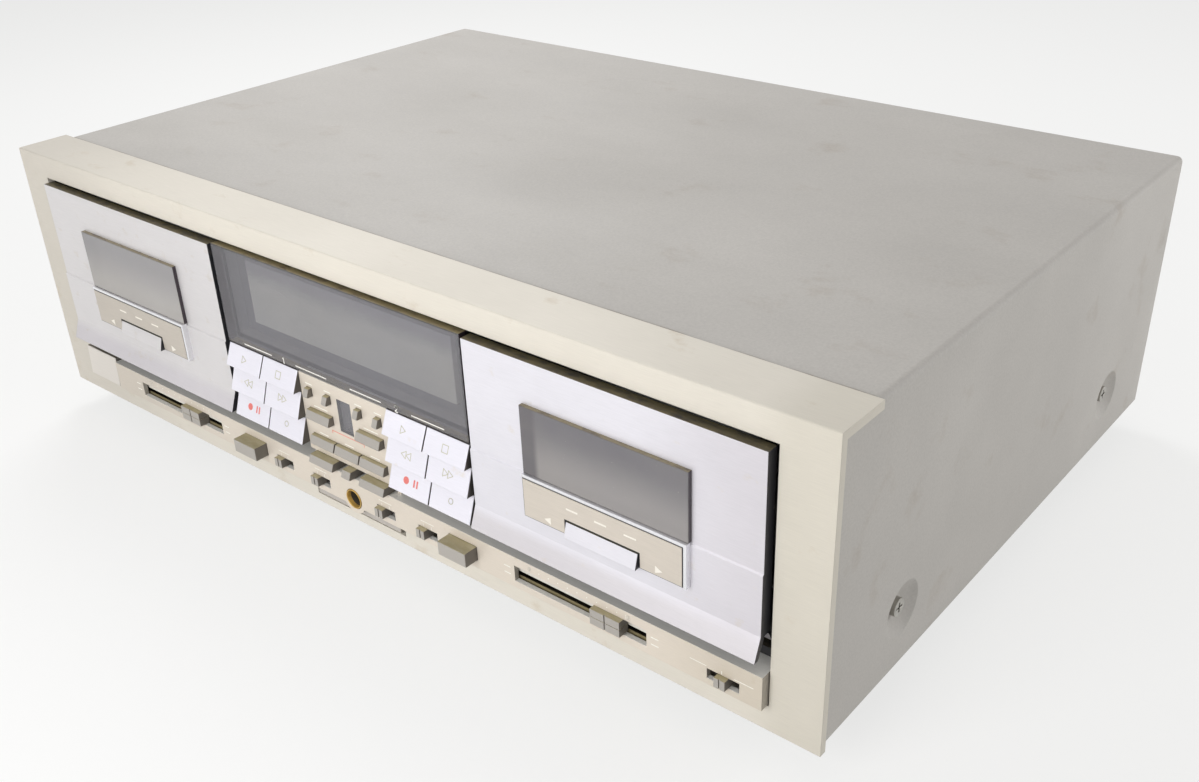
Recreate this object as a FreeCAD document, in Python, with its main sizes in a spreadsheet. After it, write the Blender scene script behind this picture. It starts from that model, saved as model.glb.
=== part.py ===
import FreeCAD, Part
import math
import os
import re

import Sketcher
from FreeCAD import Rotation, Vector

# Twin cassette deck: a flat hi-fi case with two tape doors either side of a display and its keys.
# Millimetres. Every sub-part is drawn from the middle of the front panel: x to the right,
# y to the back from the face of the front panel, z up from the lower edge of the front panel.

doc = FreeCAD.newDocument("CassetteDeck")

# Driving sizes
SIZES = {
    # front panel
    "fascia_width": 435.0,
    "fascia_height": 120.0,
    "fascia_thickness": 3.0,
    "flange_depth": 23.6,
    "flange_thickness": 3.2,
    "side_border": 19.85,
    "top_border": 10.5,
    "bottom_border": 10.3,
    "edge_bevel": 0.4,
    # case
    "sheet_thickness": 1.0,
    "case_inset": 1.6,
    "case_drop": 0.95,
    "case_lift": 1.35,
    "case_depth": 285.8,
    "cover_gap": 0.4,
    "bend_radius": 2.5,
    "floor_step": 0.65,
    "wall_height": 60.0,
    "rear_inset": 1.0,
    "vent_length": 46.0,
    "vent_width": 3.0,
    "vent_pitch": 9.0,
    "vent_setback": 190.0,
    # dished screw places in the sides of the case
    "dish_radius": 11.0,
    "dish_depth": 3.4,
    "dish_curve": 17.0,
    "dish_margin": 2.0,
    "screw_height": 24.9,
    "screw_front": 53.4,
    "screw_rear": 238.3,
    "screw_radius": 1.7,
    "screw_length": 6.0,
    "screw_head_radius": 3.5,
    "screw_head_height": 2.2,
    "cross_length": 4.4,
    "cross_width": 0.9,
    "cross_depth": 1.3,
    "thread_gap": 0.1,
    # feet
    "foot_height": 12.0,
    "foot_radius": 20.0,
    "foot_inset": 50.9,
    "foot_front": 44.0,
    "foot_rear": 246.0,
    "foot_hollow": 11.0,
    "foot_hollow_depth": 4.0,
    # black frame behind the front panel
    "frame_setback": 6.5,
    "frame_thickness": 3.0,
    "frame_gap": 0.3,
    "well_bottom": 28.0,
    "well_wall": 1.4,
    "well_depth": 17.0,
    "guide_gap": 0.3,
    "rib_inset": 1.0,
    "rib_thickness": 2.0,
    "post_radius": 2.5,
    # tape doors
    "door_width": 124.0,
    "door_edge_gap": 1.75,
    "display_gap": 1.65,
    "door_gap": 1.8,
    "door_side_gap": 0.6,
    "door_reach": 3.1,
    "door_step": 64.4,
    "door_step_reach": 0.5,
    "door_crease": 40.4,
    "door_lip": 31.7,
    "lip_reach": 6.9,
    "lip_thickness": 2.2,
    "lip_root": 0.8,
    "door_back": 1.6,
    "pivot_height": 34.0,
    "pivot_depth": 10.0,
    "pivot_radius": 1.5,
    "pivot_gap": 0.06,
    "arm_thickness": 3.0,
    "arm_inset": 3.0,
    "arm_radius": 4.0,
    "arm_height": 26.0,
    "pin_end_gap": 0.4,
    # cassette holder on the back of a door
    "cassette_width": 102.4,
    "cassette_height": 64.0,
    "cassette_thickness": 12.0,
    "cassette_gap": 0.6,
    "hub_height": 34.4,
    "hub_pitch": 42.5,
    "rail_thickness": 2.0,
    "rail_height": 60.0,
    "rail_margin": 0.8,
    "ledge_length": 16.0,
    # window in the door and the plate below it
    "window_width": 70.0,
    "window_height": 26.4,
    "window_bottom": 65.1,
    "window_reach": 4.9,
    "window_back": 0.6,
    "bezel_bottom": 47.7,
    "bezel_top": 65.0,
    "bezel_reach": 5.9,
    "bezel_rim": 1.2,
    "bezel_inset": 0.7,
    "tab_width": 30.8,
    "tab_top": 53.1,
    "tab_bottom": 47.3,
    "tab_reach": 7.5,
    "tab_gap": 0.25,
    # display
    "display_bottom": 65.0,
    "display_top": 108.4,
    "display_reach": 2.6,
    "display_thickness": 4.0,
    "tube_margin": 11.5,
    "tube_height": 27.5,
    "tube_bottom": 74.0,
    "tube_reach": 2.2,
    "tube_board_margin": 6.0,
    "board_thickness": 1.6,
    "indicator_width": 8.0,
    "indicator_bottom": 43.9,
    "indicator_top": 58.6,
    "indicator_gap": 0.4,
    # transport keys
    "key_gap": 0.6,
    "key_inner_gap": 0.2,
    "key_top_height": 9.3,
    "key_height": 11.3,
    "key_top_bottom": 55.0,
    "key_pitch": 11.85,
    "key_top_reach": 2.3,
    "key_bottom_reach": 6.2,
    "key_back": 4.0,
    "key_round": 0.4,
    "key_stem_width": 8.0,
    "key_stem_height": 4.5,
    "key_stem_rise": 2.4,
    "stem_reach": 11.0,
    # control panel and the button panel above its middle
    "panel_reach": 3.7,
    "panel_wall": 2.0,
    "panel_gap": 0.45,
    "panel_top": 24.5,
    "buttons_half": 25.9,
    "buttons_bottom": 28.6,
    "buttons_top": 64.2,
    "buttons_reach": 2.0,
    "notch_left": 28.9,
    "notch_right": 25.4,
    "notch_drop": 6.3,
    "tongue_gap": 0.3,
    "tongue_end": 3.3,
    "tongue_setback": 0.3,
    "boss_radius": 6.6,
    # small buttons
    "button_gap": 0.25,
    "button_back": 2.5,
    "button_slope": 1.2,
    "button_nose": 0.6,
    "button_round": 0.3,
    "button_stem_width": 2.6,
    "button_stem_height": 2.4,
    "small_width": 2.8,
    "small_height": 3.6,
    "small_bottom": 54.8,
    "small_outer": 20.5,
    "small_inner": 9.2,
    "small_reach": 2.9,
    "wide_width": 13.9,
    "wide_height": 3.8,
    "wide_bottom": 45.2,
    "wide_offset": 14.9,
    "wide_reach": 3.2,
    "mode_width": 14.2,
    "mode_height": 3.8,
    "mode_bottom": 33.2,
    "mode_gap": 0.7,
    "mode_reach": 2.9,
    "low_width": 14.3,
    "low_middle_width": 5.0,
    "low_height": 3.4,
    "low_bottom": 24.9,
    "low_offset": 15.3,
    "low_reach": 3.0,
    # power button
    "power_width": 24.3,
    "power_side_gap": 2.1,
    "power_gap": 0.7,
    "power_height": 14.8,
    "power_top_reach": 2.7,
    "power_bottom_reach": 3.5,
    "power_back": 3.0,
    "power_panel_gap": 1.2,
    "power_stem_width": 10.0,
    "power_stem_height": 6.0,
    # eject buttons
    "eject_width": 14.5,
    "eject_height": 6.0,
    "eject_bottom": 14.5,
    "eject_offset": 62.9,
    "eject_reach": 10.0,
    "eject_back": 1.5,
    "eject_stem_width": 8.0,
    "eject_stem_height": 4.0,
    # record level knobs
    "level_shift": 1.1,
    "level_slot_width": 61.1,
    "level_slot_height": 6.8,
    "level_slot_bottom": 13.75,
    "level_knob_width": 13.2,
    "level_split": 0.2,
    "level_gap": 0.15,
    "level_offset": 0.95,
    "level_set_1": 10.0,
    "level_set_2": 13.9,
    "knob_reach": 2.3,
    "knob_back": 1.0,
    "knob_stem_width": 3.0,
    "knob_stem_height": 1.8,
    "groove_width": 0.6,
    "groove_depth": 0.4,
    # small slide switches
    "switch_outer": 43.6,
    "switch_inner": 19.7,
    "switch_slot_width": 10.4,
    "switch_slot_height": 4.2,
    "switch_slot_bottom": 13.3,
    "switch_knob_width": 4.4,
    "switch_end_gap": 0.8,
    "timer_inset": 15.1,
    "timer_slot_width": 12.9,
    # headphone socket
    "jack_height": 14.1,
    "jack_radius": 4.4,
    "jack_gap": 0.25,
    "jack_bore": 3.2,
    "jack_flare": 0.7,
    "jack_flare_depth": 3.0,
    "jack_reach": 0.2,
    "jack_depth": 22.0,
    "jack_block": 11.0,
    "jack_wall": 2.0,
    # tape mechanism behind each door
    "mechanism_half": 57.0,
    "mechanism_bottom": 30.0,
    "mechanism_height": 78.0,
    "mechanism_thickness": 1.2,
    "spindle_radius": 4.4,
    "spindle_reach": 5.0,
    "spline_setback": 0.8,
    "spline_width": 1.2,
    "spline_length": 0.9,
    "table_radius": 12.0,
    "table_thickness": 1.8,
    "table_gap": 1.2,
    "shaft_radius": 1.5,
    "shaft_gap": 0.05,
    "shaft_tail": 3.0,
    "capstan_radius": 1.0,
    "capstan_pitch": 52.0,
    "capstan_height": 46.5,
    "capstan_reach": 4.5,
    "flywheel_radius": 21.0,
    "flywheel_thickness": 7.0,
    "flywheel_gap": 3.0,
    "motor_radius": 16.0,
    "motor_length": 28.0,
    "motor_height": 88.0,
    "head_width": 16.0,
    "head_height": 11.0,
    "head_reach": 4.0,
    "head_gap": 1.0,
    "roller_radius": 5.5,
    "roller_thickness": 7.0,
    "roller_drop": 10.5,
    "roller_setback": 1.0,
    # boards inside
    "front_board_setback": 20.0,
    "front_board_margin": 4.25,
    "front_board_top": 62.0,
    "front_board_bottom": 6.5,
    "front_board_shoulder": 25.0,
    "wing_margin": 6.0,
    "board_post_offset": 36.0,
    "board_post_inset": 8.0,
    "board_post_height": 23.5,
    "tact_size": 6.0,
    "tact_gap": 1.8,
    "pot_length": 74.0,
    "pot_height": 10.0,
    "pot_gap": 0.5,
    "main_board_height": 12.0,
    "main_board_margin": 21.3,
    "main_board_front": 92.0,
    "main_board_back": 262.0,
    "standoff_radius": 4.0,
    "standoff_inset": 12.0,
    "transformer_width": 66.0,
    "transformer_depth": 56.0,
    "transformer_height": 52.0,
    "transformer_inset": 50.0,
    "core_thickness": 22.0,
    "core_rise": 6.0,
    "coil_inset": 7.0,
    "sink_setback": 30.0,
    "sink_width": 60.0,
    "sink_height": 34.0,
    "fin_thickness": 2.0,
    "fin_pitch": 6.0,
    "fin_depth": 14.0,
    "can_radius": 9.0,
    "can_height": 30.0,
    "can_pitch": 24.0,
    "can_offset": -24.0,
    # sockets and cord bushing on the back
    "phono_radius": 4.15,
    "phono_hole": 1.6,
    "phono_length": 9.0,
    "phono_pitch": 14.0,
    "phono_offset": 140.0,
    "phono_height": 52.0,
    "phono_plate": 1.5,
    "phono_plate_margin": 9.0,
    "phono_block": 16.0,
    "phono_body": 12.0,
    "phono_hole_depth": 3.0,
    "bushing_radius": 7.5,
    "bushing_flange": 2.5,
    "bushing_neck": 5.0,
    "bushing_bore": 3.6,
    "bushing_offset": 165.0,
    "bushing_height": 30.0,
    "bushing_nose": 7.0,
    "bushing_tail": 3.0,
    # how far a cut runs past a face, and how far a joined stretch reaches into its neighbour
    "overshoot": 1.0,
    "overlap": 0.5,
}

# How many there are of what repeats in a row or a ring
VENT_COUNT = 7
SPLINE_COUNT = 6
FIN_COUNT = 9
CAN_COUNT = 4

# How near two coordinates are to count as one
TOLERANCE = 1e-4

sheet = doc.addObject("Spreadsheet::Sheet", "Sizes")
for line, (word, size) in enumerate(SIZES.items(), start=1):
    sheet.set(f"A{line}", word)
    sheet.set(f"B{line}", str(size))
    sheet.setAlias(f"B{line}", word)
doc.recompute()

PIECES = []
TURNS = {
    "x": Rotation(Vector(0, 1, 0), 90),
    "y": Rotation(Vector(1, 0, 0), -90),
    "z": Rotation(),
}
# Where a sketch plane's normal points along its axis: the XZ plane looks towards the front.
NORMALS = {"YZ_Plane": 1, "XZ_Plane": -1, "XY_Plane": 1}

# Places that several sub-parts share
OPENING_HALF = "(fascia_width / 2 - side_border)"
OPENING_TOP = "(fascia_height - top_border)"
CASE_HALF = "(fascia_width / 2 - case_inset)"
CASE_TOP = "(fascia_height - case_drop)"
COVER_FRONT = "(fascia_thickness + cover_gap)"
CHASSIS_HALF = f"({CASE_HALF} - sheet_thickness - dish_depth)"
CHASSIS_BOTTOM = "(case_lift + floor_step)"
CHASSIS_FLOOR = f"({CHASSIS_BOTTOM} + sheet_thickness)"
REAR_FACE = "(case_depth - rear_inset)"
REAR_BACK = f"({REAR_FACE} - sheet_thickness)"
FRAME_HALF = f"({CHASSIS_HALF} - sheet_thickness - frame_gap)"
FRAME_TOP = "(fascia_height - flange_thickness - frame_gap)"
FRAME_BACK = "(frame_setback + frame_thickness)"
DOOR_TOP = f"({OPENING_TOP} - door_gap)"
DECK_X = f"({OPENING_HALF} - door_edge_gap - door_width / 2)"
DISPLAY_HALF = f"({DECK_X} - door_width / 2 - display_gap)"
TUBE_WIDTH = f"(2 * ({DISPLAY_HALF} - tube_margin))"
KEY_FIRST = "(buttons_half + key_inner_gap)"
KEY_WIDTH = f"(({DISPLAY_HALF} - {KEY_FIRST} - key_gap) / 2)"
WELL_HALF = "(door_width / 2 + door_side_gap)"
WELL_TOP = f"({OPENING_TOP} - door_gap / 2)"
ARM_OUTER = "(door_width / 2 - arm_inset)"
CASSETTE_BOTTOM = f"({DOOR_TOP} - cassette_height)"
HUB_Z = f"({CASSETTE_BOTTOM} + hub_height)"
DISPLAY_BACK = "(display_thickness - display_reach)"
PANEL_LEFT = f"(power_side_gap + power_width + power_panel_gap - {OPENING_HALF})"
PANEL_RIGHT = f"({OPENING_HALF} - panel_gap)"
EJECT_END = "(eject_offset + eject_width / 2)"
LEVEL_X = f"(({EJECT_END} - {PANEL_LEFT}) / 2 - level_shift)"
TIMER_X = f"({PANEL_RIGHT} - timer_inset)"
PANEL_BOTTOM = "(bottom_border + panel_gap)"
PANEL_BACK = "(panel_wall - panel_reach)"
BUTTONS_BACK = "(panel_wall - buttons_reach)"
POWER_X = f"(power_side_gap + power_width / 2 - {OPENING_HALF})"
POWER_Z = "(bottom_border + power_gap)"
KNOB_HEIGHT = "(level_slot_height / 2 - level_gap - level_split / 2)"
SWITCH_HEIGHT = "(switch_slot_height - 2 * level_gap)"
SWITCH_SHIFT = "((switch_slot_width - switch_knob_width) / 2 - switch_end_gap)"
TABLE_BACK = "(well_depth - table_gap)"
MECHANISM_BACK = "(well_depth + mechanism_thickness)"
MAIN_BOARD_HALF = f"({CHASSIS_HALF} - sheet_thickness - main_board_margin)"
MAIN_BOARD_TOP = "(main_board_height + board_thickness)"
TRANSFORMER_X = f"({MAIN_BOARD_HALF} - transformer_inset)"
FOOT_X = f"({CASE_HALF} - foot_inset)"
FRONT_BOARD_HALF = f"({DISPLAY_HALF} - front_board_margin)"
WING_HALF = f"({FRAME_HALF} - wing_margin)"
JACK_END = "(phono_length - rear_inset)"
FRONT_PLANE = f"(eject_reach - case_depth - {JACK_END}) / 2"


# Drawing functions
def formula(text):
    """Turns the size names in a formula into cells of the sheet."""
    return re.sub(r"[a-z]\w*",
                  lambda word: word.group() if word.group() == "sqrt" else f"Sizes.{word.group()}",
                  str(text))


def bind(item, target, text):
    item.setExpression(target, formula(text))


def place(item, x=0, y=0, z=0):
    for axis, text in zip("xyz", (x, y, z)):
        bind(item, f"Placement.Base.{axis}", text)


def block(x, y, z):
    """A box between a low and a high formula along each axis."""
    item = doc.addObject("Part::Box", "Block")
    for side, (low, high) in zip(("Length", "Width", "Height"), (x, y, z)):
        bind(item, side, f"({high}) - ({low})")
    place(item, x[0], y[0], z[0])
    return item


def around(centre, width):
    """The low and high formula of a width about a centre."""
    return f"({centre}) - ({width}) / 2", f"({centre}) + ({width}) / 2"


def rod(axis, centre, radius, low, high):
    """A cylinder along an axis; the centre gives its other two coordinates."""
    item = doc.addObject("Part::Cylinder", "Rod")
    item.Placement.Rotation = TURNS[axis]
    bind(item, "Radius", radius)
    bind(item, "Height", f"({high}) - ({low})")
    spot = list(centre)
    spot.insert("xyz".index(axis), low)
    place(item, *spot)
    return item


def join(*items):
    """One solid from pieces that overlap or touch."""
    fused = doc.addObject("Part::MultiFuse", "Join")
    fused.Shapes = list(items)
    fused.Refine = True
    return fused


def group(*items):
    """Separate solids kept together."""
    kept = doc.addObject("Part::Compound", "Group")
    kept.Links = list(items)
    return kept


def cut(base, *tools):
    taken = doc.addObject("Part::Cut", "Cut")
    taken.Base = base
    taken.Tool = tools[0] if len(tools) == 1 else join(*tools)
    taken.Refine = True
    return taken


def common(base, tool):
    shared = doc.addObject("Part::Common", "Common")
    shared.Base = base
    shared.Tool = tool
    return shared


def outline(body, plane, points, offset):
    """A closed sketch through points whose coordinates are formulas."""
    sketch = body.newObject("Sketcher::SketchObject", "Outline")
    origin = next(feature for feature in body.Origin.OriginFeatures if feature.Role == plane)
    sketch.AttachmentSupport = [(origin, "")]
    sketch.MapMode = "FlatFace"
    bind(sketch, "AttachmentOffset.Base.z", offset)
    corners = len(points)
    angles = [math.tau * corner / corners for corner in range(corners)]
    ring = [Vector(math.cos(angle), math.sin(angle), 0) for angle in angles]
    for corner in range(corners):
        sketch.addGeometry(Part.LineSegment(ring[corner], ring[(corner + 1) % corners]), False)
    for corner in range(corners):
        sketch.addConstraint(Sketcher.Constraint("Coincident", corner, 2, (corner + 1) % corners, 1))
    for corner, point in enumerate(points):
        for kind, text, start in zip(("DistanceX", "DistanceY"), point, (ring[corner].x, ring[corner].y)):
            number = sketch.addConstraint(Sketcher.Constraint(kind, -1, 1, corner, 1, start))
            bind(sketch, f"Constraints[{number}]", text)
    return sketch


def pad(body, plane, points, low, high):
    """Adds a prism on the outline, from low to high along the plane's axis."""
    sideways = NORMALS[plane]
    feature_sketch = outline(body, plane, points, low if sideways > 0 else f"-({high})")
    feature = body.newObject("PartDesign::Pad", "Pad")
    feature.Profile = feature_sketch
    bind(feature, "Length", f"({high}) - ({low})")
    return feature


def pocket(body, plane, points, low, high):
    """Takes a prism away, from low to high along the plane's axis."""
    sideways = NORMALS[plane]
    feature_sketch = outline(body, plane, points, high if sideways > 0 else f"-({low})")
    feature = body.newObject("PartDesign::Pocket", "Pocket")
    feature.Profile = feature_sketch
    bind(feature, "Length", f"({high}) - ({low})")
    return feature


def rectangle(first, second):
    """The corners of a rectangle between a low and a high formula each way."""
    return [(first[0], second[0]), (first[1], second[0]), (first[1], second[1]), (first[0], second[1])]


def soften(body, kind, chosen, size):
    """Rounds or bevels the edges of the last feature that the test picks."""
    doc.recompute()
    base = body.Tip
    box = base.Shape.BoundBox
    names = [f"Edge{number}" for number, edge in enumerate(base.Shape.Edges, start=1)
             if chosen(edge.BoundBox, box)]
    feature = body.newObject(f"PartDesign::{kind}", kind)
    feature.Base = (base, names)
    bind(feature, "Radius" if kind == "Fillet" else "Size", size)


def same(one, other):
    return abs(one - other) < TOLERANCE


def on_front(edge, box):
    """An edge that lies in the plane of the foremost face."""
    return same(edge.YMin, box.YMin) and same(edge.YMax, box.YMin)


def in_front(edge, box):
    """An edge that lies wholly before the face of the front panel."""
    return edge.YMax < 0


def in_front_upright(edge, box):
    """An edge before the face of the front panel that lies in a side of the sub-part."""
    return in_front(edge, box) and same(edge.XMin, edge.XMax)


def new_body():
    return doc.addObject("PartDesign::Body", "Body")


def keep(item, label, x=0, z=0):
    """Names a finished sub-part and sets it behind the front plane and above the feet."""
    item.Label = label
    place(item, x, FRONT_PLANE, f"foot_height + {z}")
    PIECES.append(item)


# Front panel: an aluminium plate with a lip over the front of the case
def front_fascia():
    body = new_body()
    under_lip = "fascia_height - flange_thickness"
    profile = [(0, 0), ("fascia_thickness", 0), ("fascia_thickness", under_lip),
               ("flange_depth", under_lip),
               ("flange_depth", "fascia_height"), (0, "fascia_height")]
    pad(body, "YZ_Plane", profile, "-fascia_width / 2", "fascia_width / 2")
    window = rectangle((f"-{OPENING_HALF}", OPENING_HALF), ("bottom_border", OPENING_TOP))
    pocket(body, "XZ_Plane", window, "-overshoot", "fascia_thickness + overshoot")
    notch = rectangle(("-notch_left", "notch_right"),
                      ("bottom_border - notch_drop", "bottom_border + overshoot"))
    pocket(body, "XZ_Plane", notch, "-overshoot", "fascia_thickness + overshoot")
    soften(body, "Chamfer", lambda edge, box: on_front(edge, box) and same(edge.ZMin, box.ZMax),
           "edge_bevel")
    keep(body, "front_fascia")


# Sheet steel cover: top and two sides, with a dished place for each screw
def dish_sphere(side, depth, radius):
    ball = doc.addObject("Part::Sphere", "Ball")
    bind(ball, "Radius", radius)
    place(ball, f"{side}({CASE_HALF} + sqrt(dish_curve ^ 2 - dish_radius ^ 2))", depth, "screw_height")
    return ball


def sideways_rod(side, depth, radius, low, high):
    """A rod along x at a screw's place, mirrored for the left side."""
    ends = (low, high) if side == "" else (f"-({high})", f"-({low})")
    return rod("x", (depth, "screw_height"), radius, *ends)


def screw_places():
    return [(side, depth) for side in ("", "-") for depth in ("screw_front", "screw_rear")]


def top_cover():
    body = new_body()
    inner = f"({CASE_HALF} - sheet_thickness)"
    roof = f"({CASE_TOP} - sheet_thickness)"
    profile = [(f"-{CASE_HALF}", "case_lift"), (f"-{CASE_HALF}", CASE_TOP), (CASE_HALF, CASE_TOP),
               (CASE_HALF, "case_lift"), (inner, "case_lift"), (inner, roof), (f"-{inner}", roof),
               (f"-{inner}", "case_lift")]
    pad(body, "XZ_Plane", profile, COVER_FRONT, "case_depth")
    soften(body, "Fillet", lambda edge, box: same(edge.YMin, box.YMin) and same(edge.YMax, box.YMax)
           and same(edge.ZMin, box.ZMax), "bend_radius")
    under_lip = rectangle((f"-{CASE_HALF} - overshoot", f"{CASE_HALF} + overshoot"),
                          ("fascia_height - flange_thickness - cover_gap", "fascia_height + overshoot"))
    pocket(body, "XZ_Plane", under_lip, 0, "flange_depth + cover_gap")
    cups = []
    hollows = []
    for side, depth in screw_places():
        outer_bottom = f"{CASE_HALF} - dish_depth - sheet_thickness"
        cups.append(common(dish_sphere(side, depth, "dish_curve + sheet_thickness"),
                           sideways_rod(side, depth, "dish_radius + dish_margin", outer_bottom,
                                        f"{CASE_HALF} - sheet_thickness / 2")))
        hollows.append(common(dish_sphere(side, depth, "dish_curve"),
                              sideways_rod(side, depth, "dish_radius + dish_margin",
                                           f"{CASE_HALF} - dish_depth",
                                           f"{CASE_HALF} + overshoot")))
        hollows.append(sideways_rod(side, depth, "screw_radius + thread_gap", f"{outer_bottom} - overshoot",
                                    CASE_HALF))
    keep(cut(join(body, *cups), *hollows), "top_cover")


# Cross-headed screws that hold the cover to the chassis
def cover_screws():
    screws = []
    for side, depth in screw_places():
        seat = f"{CASE_HALF} - dish_depth"
        head_top = f"{seat} + screw_head_height"
        head = sideways_rod(side, depth, "screw_head_radius", seat, head_top)
        shank = sideways_rod(side, depth, "screw_radius", f"{seat} - screw_length", seat)
        ends = (f"{head_top} - cross_depth", f"{head_top} + overshoot")
        if side == "-":
            ends = (f"-({ends[1]})", f"-({ends[0]})")
        slots = [block(ends, around(depth, wide), around("screw_height", tall))
                 for wide, tall in (("cross_length", "cross_width"), ("cross_width", "cross_length"))]
        screws.append(cut(join(head, shank), *slots))
    keep(group(*screws), "cover_screws")


# Steel chassis tray with upturned sides, standoffs and vent slots
def standoff_spots():
    across = f"{MAIN_BOARD_HALF} - standoff_inset"
    return [(side + f"({across})", depth) for side in ("", "-")
            for depth in ("main_board_front + standoff_inset", "main_board_back - standoff_inset")]


def bottom_chassis():
    length = (COVER_FRONT, REAR_BACK)
    floor = block((f"-{CHASSIS_HALF}", CHASSIS_HALF), length, (CHASSIS_BOTTOM, CHASSIS_FLOOR))
    walls = []
    for ends in ((f"{CHASSIS_HALF} - sheet_thickness", CHASSIS_HALF),
                 (f"-{CHASSIS_HALF}", f"sheet_thickness - {CHASSIS_HALF}")):
        walls.append(block(ends, length, (CHASSIS_BOTTOM, f"{CHASSIS_BOTTOM} + wall_height")))
    posts = [rod("z", spot, "standoff_radius", CHASSIS_FLOOR, "main_board_height")
             for spot in standoff_spots()]
    holes = [sideways_rod(side, depth, "screw_radius + thread_gap",
                          f"{CHASSIS_HALF} - sheet_thickness - overshoot",
                          f"{CHASSIS_HALF} + overshoot")
             for side, depth in screw_places()]
    vents = []
    for side in ("", "-"):
        for number in range(VENT_COUNT):
            middle = f"{side}({TRANSFORMER_X} + ({number} - {VENT_COUNT // 2}) * vent_pitch)"
            vents.append(block(around(middle, "vent_width"), around("vent_setback", "vent_length"),
                               (f"{CHASSIS_BOTTOM} - overshoot", f"{CHASSIS_FLOOR} + overshoot")))
    keep(cut(join(floor, *walls, *posts), *holes, *vents), "bottom_chassis")


# Steel rear panel with the holes for the sockets and the cord bushing
def phono_spots():
    return [(f"phono_offset + {across} * phono_pitch / 2", f"phono_height + {up} * phono_pitch / 2")
            for across in (-1, 1) for up in (-1, 1)]


def rear_panel():
    inner = f"{CASE_HALF} - sheet_thickness - frame_gap"
    sheet_panel = block((f"-({inner})", inner), (REAR_BACK, REAR_FACE),
                        (CHASSIS_BOTTOM, f"{CASE_TOP} - sheet_thickness - frame_gap"))
    socket_hole = block(around("phono_offset", "phono_block + phono_pitch + guide_gap"),
                        (f"{REAR_BACK} - overshoot", f"{REAR_FACE} + overshoot"),
                        around("phono_height", "phono_block + phono_pitch + guide_gap"))
    cord_hole = rod("y", ("-bushing_offset", "bushing_height"), "bushing_neck + thread_gap",
                    f"{REAR_BACK} - overshoot", f"{REAR_FACE} + overshoot")
    keep(cut(sheet_panel, socket_hole, cord_hole), "rear_panel")


# Four phono sockets in one block, and the bushing that the mains cord leaves through
def rear_jacks():
    wide = "phono_block + phono_pitch"
    plate = block(around("phono_offset", f"{wide} + phono_plate_margin"),
                  (REAR_FACE, f"{REAR_FACE} + phono_plate"),
                  around("phono_height", f"{wide} + phono_plate_margin"))
    inside = block(around("phono_offset", wide), (f"{REAR_BACK} - phono_body", REAR_FACE),
                   around("phono_height", wide))
    shells = [rod("y", spot, "phono_radius", f"{REAR_FACE} + phono_plate / 2",
                  f"{REAR_FACE} + phono_length")
              for spot in phono_spots()]
    holes = [rod("y", spot, "phono_hole", f"{REAR_FACE} - phono_hole_depth",
                 f"{REAR_FACE} + phono_length + overshoot")
             for spot in phono_spots()]
    sockets = cut(join(plate, inside, *shells), *holes)
    cord_place = ("-bushing_offset", "bushing_height")
    flange = rod("y", cord_place, "bushing_radius", REAR_FACE, f"{REAR_FACE} + bushing_flange")
    nose = rod("y", cord_place, "bushing_neck", f"{REAR_BACK} - bushing_tail",
               f"{REAR_FACE} + bushing_nose")
    bore = rod("y", cord_place, "bushing_bore", f"{REAR_BACK} - bushing_tail - overshoot",
               f"{REAR_FACE} + bushing_nose + overshoot")
    keep(group(sockets, cut(join(flange, nose), bore)), "rear_jacks")


# Four round plastic feet, hollow underneath
def feet():
    pads = []
    for side in ("", "-"):
        for depth in ("foot_front", "foot_rear"):
            spot = (f"{side}{FOOT_X}", depth)
            disc = rod("z", spot, "foot_radius", "-foot_height", CHASSIS_BOTTOM)
            hollow = rod("z", spot, "foot_hollow", "-foot_height - overshoot",
                         "foot_hollow_depth - foot_height")
            pads.append(cut(disc, hollow))
    keep(group(*pads), "feet")


# Places of the keys, buttons and knobs on the front: name, x, z and the sizes of each
def key_places():
    places = []
    names = [("play", "stop"), ("rewind", "forward"), ("record", "mute")]
    for deck, side in ((1, -1), (2, 1)):
        for row, pair in enumerate(names):
            for column, name in enumerate(pair):
                nearness = column if side > 0 else 1 - column
                middle = f"{side} * ({KEY_FIRST} + {KEY_WIDTH} / 2 + {nearness} * ({KEY_WIDTH} + key_gap))"
                height = "key_top_height" if row == 0 else "key_height"
                places.append((f"key_{deck}_{name}", middle, f"key_top_bottom - {row} * key_pitch", height))
    return places


def button_places():
    """Name, x, z, width, height, face and reach beyond it for each small button."""
    high = "buttons_reach"
    small = ("small_width", "small_height", high, "small_reach")
    wide = ("wide_width", "wide_height", high, "wide_reach")
    mode = ("mode_width", "mode_height", high, "mode_reach")
    low = ("low_width", "low_height", "panel_reach", "low_reach")
    mode_step = "(mode_width + mode_gap)"
    return [
        ("button_reset_1", "-small_outer", "small_bottom", *small),
        ("button_memory_1", "-small_inner", "small_bottom", *small),
        ("button_memory_2", "small_inner", "small_bottom", *small),
        ("button_reset_2", "small_outer", "small_bottom", *small),
        ("button_counter_1", "-wide_offset", "wide_bottom", *wide),
        ("button_counter_2", "wide_offset", "wide_bottom", *wide),
        ("button_mode_left", f"-{mode_step}", "mode_bottom", *mode),
        ("button_mode_middle", "0", "mode_bottom", *mode),
        ("button_mode_right", mode_step, "mode_bottom", *mode),
        ("button_dub_start", "-low_offset", "low_bottom", *low),
        ("button_dub_speed", "0", "low_bottom", "low_middle_width", *low[1:]),
        ("button_search", "low_offset", "low_bottom", *low),
    ]


def level_middle(side):
    """The middle of a deck's record level slot."""
    return f"{side}{LEVEL_X} + level_offset"


def level_places():
    """Name, slot centre, rest place and lower edge of each record level knob."""
    upper = f"level_slot_bottom + level_gap + {KNOB_HEIGHT} + level_split"
    lower = "level_slot_bottom + level_gap"
    return [(f"level_{deck}_{name}", level_middle(side), f"{level_middle(side)} + level_set_{deck}", bottom)
            for deck, side in ((1, "-"), (2, ""))
            for name, bottom in (("left", upper), ("right", lower))]


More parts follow.
